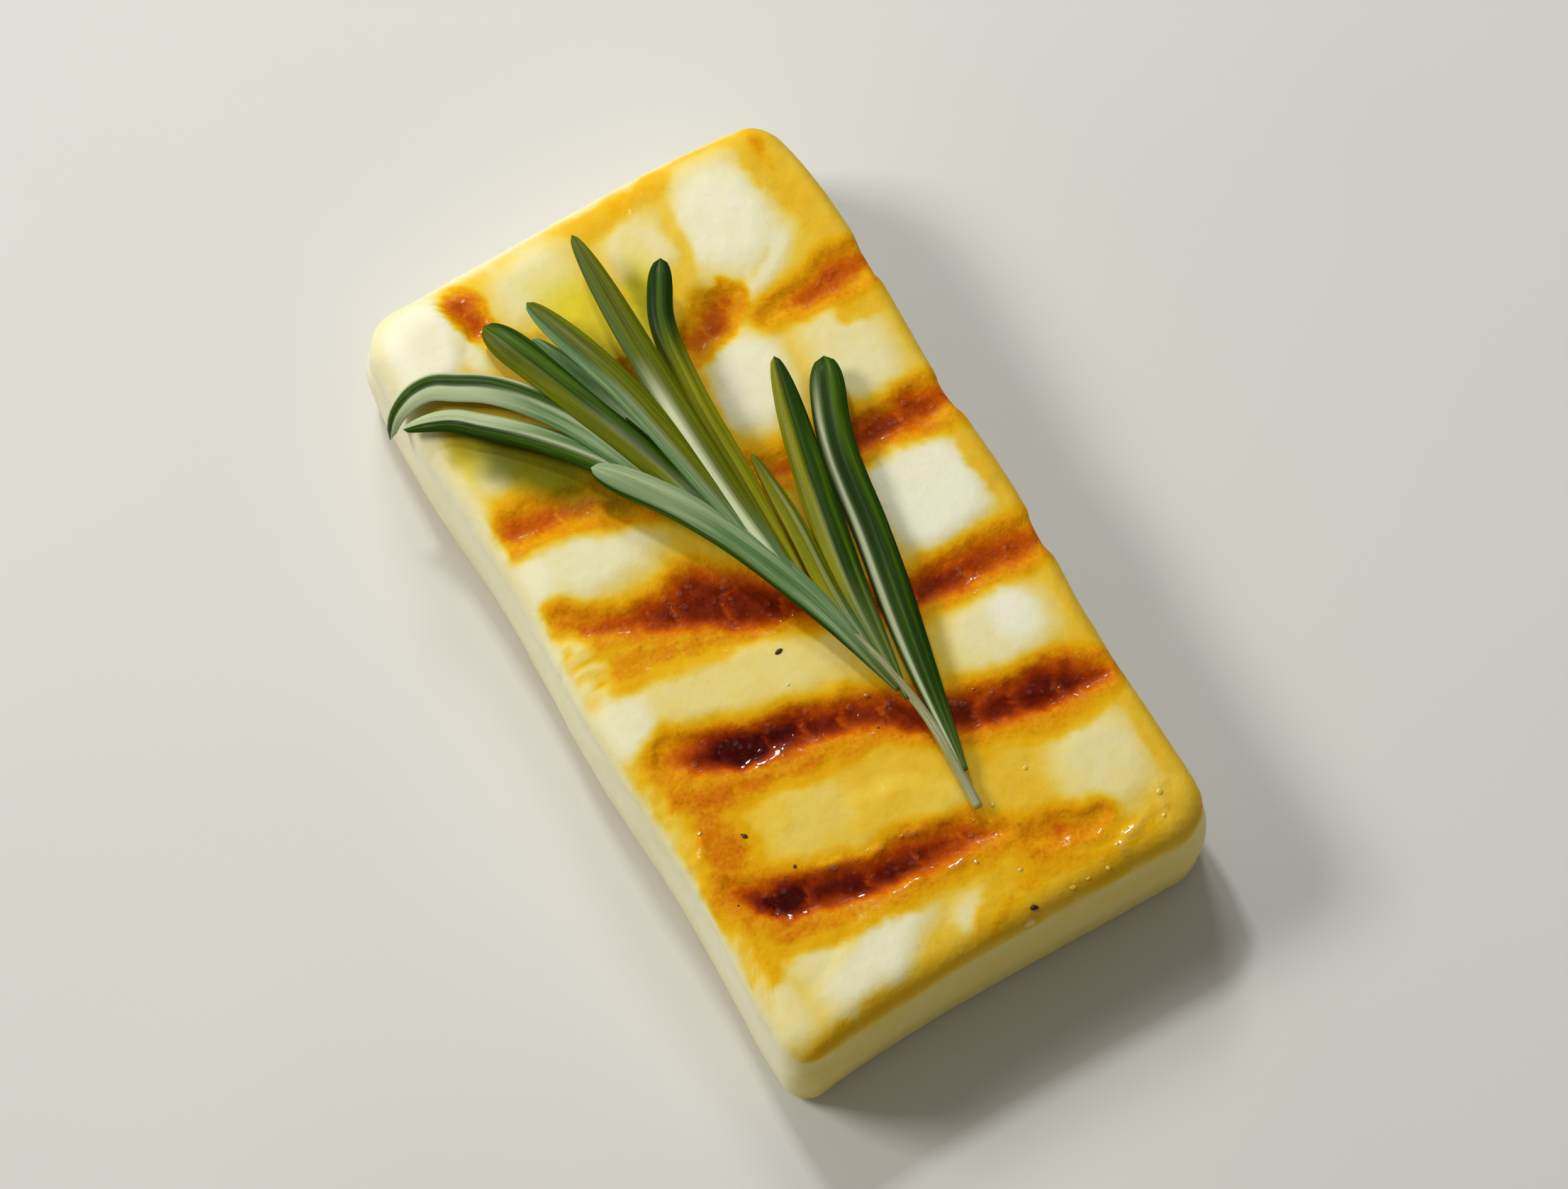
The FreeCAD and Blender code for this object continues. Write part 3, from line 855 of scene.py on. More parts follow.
@dataclass
class GrilledFace:
    """The fields of the grilled top over the slice's plan.

    Levels are on the browning scale, from 0 for cream to 1 for char; depths
    and heights are in millimetres.
    """

    base_level: float = 0.405
    ring_level: float = 0.27
    foam_level: float = 0.14
    bubble_level: float = 0.36
    edge_wander: float = 0.8
    groove_depth: float = 0.45
    bubble_depth: float = 0.22
    lip_height: float = 0.08
    ridge_height: float = 0.34
    wrinkle: float = 0.07
    seed: int = 11
    lattice: Lattice = field(init=False)

    def __post_init__(self) -> None:
        """Prepare the random field."""
        self.lattice = Lattice(self.seed)

    def read(self, x: Array, y: Array) -> dict:
        """Work out the grilled face at each place.

        The browning starts at a drifting golden base, gives way to the pale
        pillows, then takes the highest of the glows and bars, and a bubbly
        foam pales it again at the -y edge. Relief is the pillows' rise less
        the grooves that the bars pressed, plus lips, wrinkles and ridges.

        Args:
            x: places along the slice.
            y: places across it.

        Returns:
            The fields brown, grain, gloss, relief and pressed, and the sprig's painted light and painted
            shadow.
        """
        flat = np.column_stack((x, y, np.zeros(len(x))))
        near_x = x + self.edge_wander * self.lattice.layered(flat, 2.9, 4, 0.55)
        near_y = y + self.edge_wander * self.lattice.layered(flat + 40.0, 2.9, 4, 0.55)
        ragged = self.lattice.layered(flat + 90.0, 1.3, 3, 0.6)
        drift = self.lattice.layered(flat + 130.0, 9.0, 3)
        fine = self.lattice.layered(flat + 170.0, 0.9, 3, 0.6)
        brown, rise = self._let_pillows_in(near_x, near_y, drift, fine)
        brown, pressed = self._lay_bars(near_x, near_y, brown, ragged, fine)
        foam = strongest(FOAM, near_x, near_y)
        bubble = 0.5 + 0.5 * self.lattice.at(flat * np.array((2.2, 0.8, 1.0)) + 211.0)
        brown = blend(brown, self.foam_level + self.bubble_level * bubble, 0.85 * foam)
        char = smooth_step(0.55, 0.9, brown)
        crust = smooth_step(0.22, 0.42, brown)
        toasted = smooth_step(0.46, 0.56, brown)
        ridge = np.max([stroke.lay(near_x, near_y, ragged)[1] for stroke in RIDGES], axis=0)
        ridge = ridge * smooth_step(-0.25, 0.25, self.lattice.at(flat * 0.8 + 301.0))
        lip = self.lip_height * smooth_step(0.0, 0.35, pressed) * smooth_step(0.9, 0.45, pressed)
        relief = rise - self.groove_depth * pressed * (0.8 + 0.2 * char) + lip
        relief = relief + self.wrinkle * crust * fine + 0.05 * char * ragged
        relief = relief - self.bubble_depth * foam * bubble
        relief = relief + self.ridge_height * ridge
        grain = (0.14 + 0.80 * toasted * (1.0 - 0.72 * char)) * crust
        gloss = 0.26 * crust + 0.34 * char + 0.35 * smooth_step(24.0, 33.0, x) * crust + ridge
        # Two of these fields are the sprig's painted light and painted shadow.
        return {"brown": brown, "grain": grain, "gloss": np.clip(gloss, 0.0, 1.0),
                "needle_light": strongest(PAINTED_NEEDLE_LIGHT, near_x, near_y), "sprig_shadow": strongest(PAINTED_SPRIG_SHADOWS, near_x, near_y),
                "relief": relief, "pressed": pressed}

    def _let_pillows_in(self, x: Array, y: Array, drift: Array, fine: Array) -> tuple:
        """Let the pale pillows and the rings round them into the golden base.

        Args:
            x: wandering places along the slice.
            y: wandering places across it.
            drift: wide noise from -1 to 1.
            fine: small noise from -1 to 1.

        Returns:
            The browning, and how far the cheese rose in millimetres.
        """
        brown = self.base_level + 0.04 * drift + 0.02 * fine
        for pillow in PILLOWS:
            surround = pillow.weight(x, y, 2.0)
            brown = np.minimum(brown, blend(brown, self.ring_level + 0.03 * drift, 0.6 * surround))
        rise = np.zeros(len(x))
        for pillow in PILLOWS:
            cover = pillow.weight(x, y)
            brown = blend(brown, pillow.level + 0.05 * drift + 0.025 * fine, cover)
            rise = np.maximum(rise, pillow.rise * cover)
        return brown, rise

    @staticmethod
    def _lay_bars(x: Array, y: Array, brown: Array, ragged: Array, fine: Array) -> tuple:
        """Lay the glows and the bars over the browning, darkest on top.

        Args:
            x: wandering places along the slice.
            y: wandering places across it.
            brown: browning before them.
            ragged: noise that makes their edges ragged.
            fine: small noise from -1 to 1.

        Returns:
            The browning with them, and how deep the bars pressed, as a share.
        """
        pressed = np.zeros(len(x))
        for stroke in GLOWS + BARS:
            level, cover, glow, dip = stroke.lay(x, y, ragged)
            brown = np.maximum(brown, blend(brown, stroke.halo_level, glow))
            brown = np.maximum(brown, blend(brown, level + 0.035 * fine * cover, cover))
            if stroke in BARS:
                pressed = np.maximum(pressed, dip)
        return brown, pressed


# --------------------------------------------------------------------- slice
@dataclass
class SlicePlan:
    """The slice's outline: a rounded rectangle carried to an uneven plan.

    Near is the +x end and far the -x end; left is the +y edge and right the
    -y edge. All sizes are in millimetres, and edge_waves counts the half
    waves from the middle to an end of the long edges.
    """

    length: float = 72.0
    width: float = 39.6
    radius_near_left: float = 3.6
    radius_far_left: float = 2.2
    radius_far_right: float = 3.4
    radius_near_right: float = 2.4
    far_reach: float = 0.8
    far_bulge: float = 0.3
    far_corner_cut: float = 1.2
    back_reach: float = 0.6
    near_flare: float = 1.3
    edge_wave: float = 0.25
    edge_waves: float = 2.5
    wave_start: float = 0.8
    least_radius: float = 1.0

    def corner_radius(self, side_x: Array, side_y: Array) -> Array:
        """Plan radius of the corner in each point's quadrant.

        Args:
            side_x: places along the slice, of which only the signs count.
            side_y: places across it, in the same way.

        Returns:
            The radius at each place.
        """
        near = np.where(side_y > 0, self.radius_near_left, self.radius_near_right)
        far = np.where(side_y > 0, self.radius_far_left, self.radius_far_right)
        return np.where(side_x > 0, near, far)

    def rim(self, side_x: Array, side_y: Array, inset: Array) -> tuple:
        """Carry the unit square's edge to the rounded rectangle's edge.

        Points in a corner's square are pushed along their ray from the
        arc's centre onto the arc.

        Args:
            side_x: square coordinate along the slice, -1 to 1.
            side_y: square coordinate across it, -1 to 1.
            inset: how far the edge is pulled in.

        Returns:
            Plain plan coordinates x and y, before the warp.
        """
        half_x, half_y = 0.5 * self.length - inset, 0.5 * self.width - inset
        x, y = half_x * side_x, half_y * side_y
        radius = np.maximum(self.corner_radius(side_x, side_y) - 0.5 * inset, self.least_radius)
        past_x = np.abs(x) - (half_x - radius)
        past_y = np.abs(y) - (half_y - radius)
        corner = (past_x > 0) & (past_y > 0)
        reach = np.maximum(np.hypot(past_x, past_y), 1e-9)
        round_x = np.sign(x) * (half_x - radius + radius * past_x / reach)
        round_y = np.sign(y) * (half_y - radius + radius * past_y / reach)
        return np.where(corner, round_x, x), np.where(corner, round_y, y)

    def warp(self, x: Array, y: Array) -> tuple:
        """Carry plain plan coordinates to the slice's uneven plan.

        The far end reaches out and swells as a half cosine, its +y corner is
        cut back, the near end flares towards -y, the +y edge reaches out by
        the square of its nearness, and the long edges wave as a sine.

        Args:
            x: plain place along the slice.
            y: plain place across it.

        Returns:
            The place in the uneven plan.
        """
        along, across = 2.0 * x / self.length, 2.0 * y / self.width
        far = np.maximum(-along, 0.0) ** 4
        near = np.maximum(along, 0.0) ** 4
        cut = far * np.maximum(across, 0.0) ** 3
        shift_x = -far * (self.far_reach + self.far_bulge * np.cos(0.5 * np.pi * across))
        shift_x += self.near_flare * near * np.maximum(-across, 0.0) ** 2
        shift_x += 0.6 * self.far_corner_cut * cut
        wave = np.sin(np.pi * self.edge_waves * along + self.wave_start)
        shift_y = self.edge_wave * across * np.abs(across) * wave - self.far_corner_cut * cut
        shift_y += self.back_reach * np.maximum(across, 0.0) ** 2
        return x + shift_x, y + shift_y


@dataclass
class HalloumiSlice:
    """The slab of cheese: one closed skin of top, walls and underside.

    Its sizes are in millimetres. The cells lie over the top and the underside,
    and the rings go round over the top edge, down the wall and under the foot.
    """

    plan: SlicePlan
    face: GrilledFace
    thickness: float = 14.0
    top_sink: float = 0.22
    edge_fall: float = 0.7
    top_round: float = 2.2
    corner_round: float = 1.2
    back_crisp: float = 0.9
    foot_round: float = 1.5
    wall_bulge: float = 0.35
    wall_wave: float = 0.16
    pore_depth: float = 0.14
    notch_depth: float = 0.35
    cells_along: int = 232
    cells_across: int = 128
    round_rings: int = 8
    wall_rings: int = 26
    foot_rings: int = 5
    seed: int = 23

    def top_height(self, x: Array, y: Array) -> Array:
        """Height of the top before its relief, which falls off by fourth powers.

        Args:
            x: places along the slice.
            y: places across it.

        Returns:
            The height at each place.
        """
        along = np.minimum(np.abs(2.0 * x / self.plan.length), 1.1)
        across = np.minimum(np.abs(2.0 * y / self.plan.width), 1.1)
        return self.thickness - self.top_sink - 0.5 * self.edge_fall * (along ** 4 + across ** 4)

    def crest(self, x: Array, y: Array) -> Array:
        """Height that the highest pillows reach at each place."""
        return self.top_height(x, y) + max(pillow.rise for pillow in PILLOWS)

    def _square(self) -> tuple:
        """Lay a grid of points over a square, row by row.

        Returns:
            Their square coordinates along and across the slice, from -1 to 1,
            and the larger of the two sizes, which is 1 on the square's edge.
        """
        side_x = np.linspace(-1.0, 1.0, self.cells_along + 1)
        side_y = np.linspace(-1.0, 1.0, self.cells_across + 1)
        grid_x, grid_y = np.meshgrid(side_x, side_y)
        ring = np.maximum(np.maximum(np.abs(grid_x), np.abs(grid_y)), 1e-9)
        return grid_x.ravel(), grid_y.ravel(), ring.ravel()

    def _loop(self) -> Array:
        """Find the grid's edge.

        Returns:
            Indices of the grid points once round the edge, counter-clockwise.
        """
        wide, deep = self.cells_along, self.cells_across
        row = wide + 1
        south = np.arange(0, wide)
        east = wide + row * np.arange(0, deep)
        north = row * deep + np.arange(wide, 0, -1)
        west = row * np.arange(deep, 0, -1)
        return np.concatenate((south, east, north, west))

    def _round_size(self, side_x: Array, side_y: Array) -> Array:
        """Radius of the top edge: largest at the far -y corner, least at +y.

        Args:
            side_x: square coordinate along the slice, -1 to 1.
            side_y: square coordinate across it, -1 to 1.

        Returns:
            The radius at each place.
        """
        pillowy = smooth_step(1.2, 0.2, np.hypot(side_x + 1.0, 0.6 * (side_y + 1.0)))
        crisp = smooth_step(0.6, 1.0, side_y) * smooth_step(1.0, 0.85, np.abs(side_x))
        return self.top_round + self.corner_round * pillowy - self.back_crisp * crisp

    def _cap(self, inset: Array) -> tuple:
        """Carry the grid to a cap: scaled copies of its rim, then the warp.

        Args:
            inset: how far the rim is pulled in at each grid point.

        Returns:
            The places along and across the slice.
        """
        side_x, side_y, ring = self._square()
        x, y = self.plan.rim(side_x / ring, side_y / ring, inset)
        return self.plan.warp(x * ring, y * ring)

    def skin(self) -> Skin:
        """Work out the whole skin.

        Rings go from the top cap's rim over a quarter circle, down the wall,
        which swells as a squared sine, and under a smaller quarter circle to
        the underside's rim. Each point is then moved along its normal by its
        own relief.

        Returns:
            The closed skin with its fields.
        """
        side_x, side_y, ring = self._square()
        loop = self._loop()
        rounding = self._round_size(side_x / ring, side_y / ring)
        top_x, top_y = self._cap(rounding)
        top_z = self.top_height(top_x, top_y)
        low_x, low_y = self._cap(np.full(len(side_x), self.foot_round))
        low_z = np.zeros(len(low_x))

        insets, drops, tilts = self._wall_profile(rounding[loop])
        rows = len(insets)
        edge_x, edge_y = np.tile(side_x[loop], rows), np.tile(side_y[loop], rows)
        wall_x, wall_y = self.plan.rim(edge_x, edge_y, insets.ravel())
        wall_x, wall_y = self.plan.warp(wall_x, wall_y)
        wall_z = np.tile(top_z[loop], rows) * (1.0 - drops.ravel() / self.thickness)

        grid_x, grid_y = wall_x.reshape(rows, -1), wall_y.reshape(rows, -1)
        run_x = np.roll(grid_x, -1, 1) - np.roll(grid_x, 1, 1)
        run_y = np.roll(grid_y, -1, 1) - np.roll(grid_y, 1, 1)
        size = np.hypot(run_x, run_y)
        out_x, out_y = (run_y / size).ravel(), (-run_x / size).ravel()
        tilt = tilts.ravel()

        points = np.column_stack((np.concatenate((top_x, wall_x, low_x)),
                                  np.concatenate((top_y, wall_y, low_y)),
                                  np.concatenate((top_z, wall_z, low_z))))
        caps = np.zeros(len(top_x))
        normals = np.column_stack((
            np.concatenate((caps, out_x * np.cos(tilt), caps)),
            np.concatenate((caps, out_y * np.cos(tilt), caps)),
            np.concatenate((caps + 1.0, np.sin(tilt), caps - 1.0))))
        points, fields = self._dress(points, normals)
        return Skin(points, self._faces(loop, rows), fields)

    def _wall_profile(self, rounding: Array) -> tuple:
        """Shape the wall from the top's rim down to the underside's.

        Args:
            rounding: radius of the top edge at each point of the loop.

        Returns:
            Inset, drop and upward tilt, with one row for each ring.
        """
        turn = np.linspace(0.0, 0.5 * np.pi, self.round_rings + 1)[1:, None]
        over = (rounding * (1.0 - np.sin(turn)), rounding * (1.0 - np.cos(turn)),
                0.5 * np.pi - turn + 0.0 * rounding)
        share = np.linspace(0.0, 1.0, self.wall_rings + 1)[1:, None]
        foot = self.thickness - self.foot_round
        down = (-self.wall_bulge * np.sin(np.pi * share) ** 2 + 0.0 * rounding,
                blend(rounding, foot, share), 0.0 * share + 0.0 * rounding)
        turn = np.linspace(0.0, 0.5 * np.pi, self.foot_rings + 1)[1:-1, None]
        under = (self.foot_round * (1.0 - np.cos(turn)) + 0.0 * rounding,
                 foot + self.foot_round * np.sin(turn) + 0.0 * rounding,
                 -turn + 0.0 * rounding)
        return tuple(np.concatenate(parts) for parts in zip(over, down, under))

    def _faces(self, loop: Array, rows: int) -> list:
        """Face the top, the wall and the underside, all outwards.

        Args:
            loop: grid indices round the cap's edge.
            rows: number of wall rings between the two caps.

        Returns:
            Three blocks of quads.
        """
        row = self.cells_along + 1
        count = row * (self.cells_across + 1)
        start = (np.arange(self.cells_across)[:, None] * row + np.arange(self.cells_along)).ravel()
        top = np.column_stack((start, start + 1, start + row + 1, start + row))
        span = len(loop)
        rings = [loop] + [count + step * span + np.arange(span) for step in range(rows)]
        base = count + rows * span
        rings.append(base + loop)
        bands = []
        for upper, lower in zip(rings[:-1], rings[1:]):
            bands.append(np.column_stack((upper, lower, np.roll(lower, -1), np.roll(upper, -1))))
        return [top, np.concatenate(bands), top[:, ::-1] + base]

    @staticmethod
    def _crust_cover(x: Array, normals: Array, depth: Array) -> Array:
        """Find how far the grilled face runs over the edge and down the wall.

        It hangs lowest at the near end, lower at the +y wall than at the far
        end, and highest at the far part of the -y wall.

        Args:
            x: places along the slice.
            normals: outward directions.
            depth: ragged depth below the top in millimetres.

        Returns:
            Its cover, from 0 on the bare wall to 1 on the top.
        """
        lean_x, lean_y, up = normals.T
        hang = 0.75 + 0.9 * np.maximum(lean_x, 0.0) + 0.45 * np.maximum(lean_y, 0.0)
        hang = hang - 0.35 * np.maximum(-lean_y, 0.0) * smooth_step(10.0, 4.0, x)
        cover = smooth_step(hang + 0.5, hang - 0.35, depth)
        return np.where(up < -0.01, 0.0, cover)

    @staticmethod
    def _wall_level(normals: Array, drop: Array, noise: Array) -> Array:
        """Browning of the bare wall: more under the edge, and a painted shade at the near end.

        Args:
            normals: outward directions.
            drop: depth below the top in millimetres.
            noise: wide noise from -1 to 1.

        Returns:
            The browning level at each place.
        """
        lean_x, lean_y, _ = normals.T
        level = 0.05 + 0.05 * noise + 0.10 * smooth_step(3.0, 0.6, drop)
        # Painted shade: the near end's wall, which faces away from the lights, is darkened with extra
        # browning.
        level = level + 0.20 * np.maximum(lean_x, 0.0)
        return level + 0.06 * np.abs(lean_y) * smooth_step(5.0, 12.0, drop)

    def _dress(self, points: Array, normals: Array) -> tuple:
        """Move the plain skin by its relief and read its fields.

        The grilled face ends in a ragged line a little way down the wall. The
        wall is pale and pored, browner at the foot, with a painted shade on the
        near end's wall, and notched where a bar meets the +y edge. The underside
        has the grilled face's mirror image, weaker and flatter.

        Args:
            points: plain vertices.
            normals: outward directions.

        Returns:
            The moved vertices and the fields brown, grain and gloss, and the
            sprig's painted light and painted shadow.
        """
        lattice = Lattice(self.seed)
        x, y, z = points.T
        up = normals[:, 2]
        top = self.face.read(x, y)
        drop = self.top_height(x, y) - z
        edge_noise = lattice.layered(points, 1.6, 4, 0.6)
        wall_noise = lattice.layered(points * np.array((1.0, 1.0, 1.7)), 3.5, 4)
        cover = self._crust_cover(x, normals, drop + 0.55 * edge_noise)
        brown = blend(self._wall_level(normals, drop, wall_noise), top["brown"], cover)
        under = smooth_step(-0.55, -0.95, up)
        beneath = self.face.read(x, -y)
        low_brown = np.minimum(0.12 + 0.72 * beneath["brown"], 0.8)
        rim_low = smooth_step(self.thickness - 1.8, self.thickness - 0.4, drop + 0.5 * edge_noise)
        brown = blend(brown, low_brown, np.maximum(under, rim_low * (up < 0.5)))
        grain = blend(0.04, top["grain"], cover)
        grain = blend(grain, 0.6 * beneath["grain"], under)
        gloss = blend(0.12, top["gloss"], cover)
        pores = smooth_step(0.45, 0.75, lattice.layered(points + 60.0, 1.1, 2))
        side = 1.0 - np.abs(up)
        relief = top["relief"] * np.clip(up, 0.0, 1.0) ** 2
        relief = relief + side * (self.wall_wave * wall_noise + 0.05 * edge_noise
                                  - self.pore_depth * pores)
        relief = relief + np.clip(-up, 0.0, 1.0) ** 2 * np.minimum(0.5 * beneath["relief"] - 0.17, 0.0)
        notched = smooth_step(4.0, 1.0, drop) * (normals[:, 1] > 0.0)
        relief = relief - self.notch_depth * top["pressed"] * side * notched
        moved = points + normals * relief[:, None]
        moved[:, 2] = np.maximum(moved[:, 2], 0.0)
        return moved, {"brown": brown, "grain": grain, "gloss": gloss,
                       "needle_light": top["needle_light"] * cover, "sprig_shadow": top["sprig_shadow"] * cover}

    def make(self, skin: Skin, origin: Array, finish: bpy.types.Material) -> bpy.types.Object:
        """Build the slice from its skin and let it stand for its frame node.

        Args:
            skin: its whole skin.
            origin: where the slice's plan has its origin, in metres.
            finish: its material.

        Returns:
            The slice.
        """
        piece = make_piece("grilled_slice", skin, origin, finish)
        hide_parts("halloumi_slice")
        return piece


# --------------------------------------------------------------------- sprig
class Tone(Enum):
    """Colour of a blade, as shares of olive and of sage over deep green."""

    DEEP = (0.0, 0.0)
    FERN = (0.25, 0.25)
    MOSS = (0.45, 0.0)
    OLIVE = (0.95, 0.0)
    SAGE = (0.05, 0.85)


def spline(points: Array, count: int) -> Array:
    """Carry a smooth path through a few points.

    Each span is a cubic through its two points, whose slopes there are those
    of the chords on both sides, weighed by their lengths in plan.

    Args:
        points: the points to pass, one row each.
        count: number of samples.

    Returns:
        The samples, evenly spread over the path's parameter.
    """
    knots = np.concatenate(([0.0], np.cumsum(np.linalg.norm(np.diff(points[:, :2], axis=0), axis=1))))
    slopes = np.gradient(points, knots, axis=0)
    at = np.linspace(0.0, knots[-1], count)
    span = np.clip(np.searchsorted(knots, at, side="right") - 1, 0, len(knots) - 2)
    width = (knots[span + 1] - knots[span])[:, None]
    share = ((at - knots[span])[:, None]) / width
    square, cube = share ** 2, share ** 3
    return ((2 * cube - 3 * square + 1) * points[span] + (cube - 2 * square + share) * width * slopes[span]
            + (3 * square - 2 * cube) * points[span + 1] + (cube - square) * width * slopes[span + 1])


def sweep(path: Array, half_widths: Array, section: Callable[[Array, Array], tuple],
          rolls: Array, around: int) -> Skin:
    """Carry a closed cross-section along a path and close both ends.

    Args:
        path: middle line, one row for each station.
        half_widths: half width at each station.
        section: gives the sideways and upward share of the half width for an
            angle round the section and a place along the path.
        rolls: turn of the section about the path at each station.
        around: points round the section.

    Returns:
        The skin with the fields along, across and under.
    """
    stations = len(path)
    forward = np.gradient(path, axis=0)
    forward /= np.linalg.norm(forward, axis=1)[:, None]
    side = np.cross(np.array((0.0, 0.0, 1.0)), forward)
    side /= np.linalg.norm(side, axis=1)[:, None]
    up = np.cross(forward, side)
    turned_side = side * np.cos(rolls)[:, None] + up * np.sin(rolls)[:, None]
    turned_up = up * np.cos(rolls)[:, None] - side * np.sin(rolls)[:, None]
    angle = np.linspace(0.0, 2.0 * np.pi, around, endpoint=False)[None, :]
    along = np.linspace(0.0, 1.0, stations)[:, None]
    offset, lift = section(angle, along)
    wide = half_widths[:, None]
    rings = (path[:, None, :] + (offset * wide)[..., None] * turned_side[:, None, :]
             + (lift * wide)[..., None] * turned_up[:, None, :])
    points = np.concatenate((rings.reshape(-1, 3), path[:1], path[-1:]))
    beneath = (np.sin(angle) < -0.25).astype(float).repeat(stations, 0)
    fields = {
        "along": np.concatenate((np.broadcast_to(along, offset.shape).ravel(), (0.0, 1.0))),
        "across": np.concatenate((offset.ravel(), (0.0, 0.0))),
        "under": np.concatenate((beneath.ravel(), (0.0, 0.0))),
    }
    return Skin(points, tube_faces(stations, around), fields)


ROUGH_STATIONS = 14
NEEDLE_STATIONS = 80
NEEDLE_SIDES = 32
BLADE_DEPTH = 0.13


@dataclass(frozen=True)
class Needle:
    """One rosemary needle: plan points from root to tip as x, y and lift.

    Sizes are in millimetres, and shares run from the root or the middle line.

    Attributes:
        name: what it is called in the table.
        width: its widest.
        points: places along the slice, across it and over its gap.
        tone: colour of its blade.
        edge: colour past the split line.
        side: 1 or -1, for the edge on which the split line lies.
        split: the line's place, as a share of the half width.
        line: how pale the seam along the line is; the seam is partly a painted highlight.
        line_width: the seam's width, as a share of the half width.
        line_until: share of the length at which the seam ends.
        root: colour at its root.
        root_until: share of the length at which that colour ends.
        roll: turn about its own length in degrees.
        blunt: share of the length at which its tip starts to narrow.
        hang: further points past the cheese's edge, with their heights.
        bleach: how pale a sage tip is.
        outline: how pale the edge opposite the split line is.
    """

    name: str
    width: float
    points: tuple
    tone: Tone = Tone.DEEP
    edge: Tone = Tone.DEEP
    side: float = 1.0
    split: float = 0.3
    line: float = 0.0
    line_width: float = 0.10
    line_until: float = 0.9
    root: Tone = Tone.FERN
    root_until: float = 0.3
    roll: float = 0.0
    blunt: float = 0.6
    hang: tuple = ()
    bleach: float = 0.0
    outline: float = 0.0

    def path(self, slice_: HalloumiSlice, gap: float, count: int) -> Array:
        """Lay the middle line over the cheese, then through any hanging points.

        Args:
            slice_: the cheese that it lies on.
            gap: clearance over the cheese.
            count: number of samples.

        Returns:
            The middle line from root to tip.
        """
        laid = spline(np.array(self.points, dtype=float), ROUGH_STATIONS)
        floor = slice_.crest(laid[:, 0], laid[:, 1]) + gap + BLADE_DEPTH * self.width
        laid[:, 2] = floor + np.maximum(laid[:, 2], 0.0)
        if self.hang:
            laid = np.concatenate((laid, np.array(self.hang, dtype=float)))
        return spline(laid, count)

    def half_widths(self, along: Array) -> Array:
        """Half width along the needle: a sine swell, then a rounded tip.

        Args:
            along: shares of the way from root to tip.

        Returns:
            The half width at each of them.
        """
        swell = 0.16 + 0.84 * np.sin(0.5 * np.pi * np.clip(along / 0.5, 0.0, 1.0))
        tail = np.clip((along - self.blunt) / (1.0 - self.blunt), 0.0, 1.0)
        taper = np.sqrt(np.clip(1.0 - tail ** 2.6, 0.0, 1.0)) * 0.995 + 0.005
        return 0.5 * self.width * swell * taper

    @staticmethod
    def section(angle: Array, place: Array) -> tuple:
        """Section of the blade as sideways and upward shares.

        A flat arch with thin margins, a groove along its middle above and a
        low rib beneath: each is a Gaussian across the blade.

        Args:
            angle: angle round the section.
            place: share of the way along the needle.

        Returns:
            The sideways and upward shares of the half width.
        """
        reach = np.cos(angle) + 0.0 * place
        height = np.sin(angle) + 0.0 * place
        groove = 0.11 * np.exp(-(reach / 0.15) ** 2) * smooth_step(0.05, 0.25, place)
        above = 0.26 * height + 0.13 * (1.0 - reach ** 2) - groove
        below = 0.26 * height + 0.12 * (1.0 - reach ** 2) - 0.12 * np.exp(-(reach / 0.14) ** 2)
        return reach, np.where(height >= 0.0, above, below)

    def skin(self, slice_: HalloumiSlice, gap: float) -> Skin:
        """Sweep the needle and colour its blade.

        Args:
            slice_: the cheese that it lies on.
            gap: clearance over the cheese.

        Returns:
            The needle's skin with its fields.
        """
        along = np.linspace(0.0, 1.0, NEEDLE_STATIONS)
        path, half_widths = self.path(slice_, gap, NEEDLE_STATIONS), self.half_widths(along)
        rolls = np.full(NEEDLE_STATIONS, math.radians(self.roll))
        skin = sweep(path, half_widths, self.section, rolls, NEEDLE_SIDES)
        across = skin.fields["across"] * self.side
        place = skin.fields["along"]
        edge = smooth_step(self.split - 0.08, self.split + 0.08, across)
        base = smooth_step(self.root_until + 0.12, self.root_until - 0.12, place)
        shares = [blend(blend(main, rim, edge), root, base)
                  for main, rim, root in zip(self.tone.value, self.edge.value, self.root.value)]
        skin.fields["olive"], skin.fields["sage"] = shares
        # The seam: partly pale tissue, partly a painted highlight.
        seam = np.exp(-((across - self.split) / self.line_width) ** 2)
        seam = seam * smooth_step(self.line_until + 0.1, self.line_until - 0.1, place)
        tip = smooth_step(0.55, 0.80, place) * shares[1]
        outline = self.outline * smooth_step(-0.66, -0.82, across) * smooth_step(0.3, 0.5, place)
        skin.fields["pale"] = np.max((self.line * seam, self.bleach * tip, outline), axis=0)
        skin.fields["strand"] = np.full(len(place), 3.7 * self.width + self.points[-1][1])
        return skin


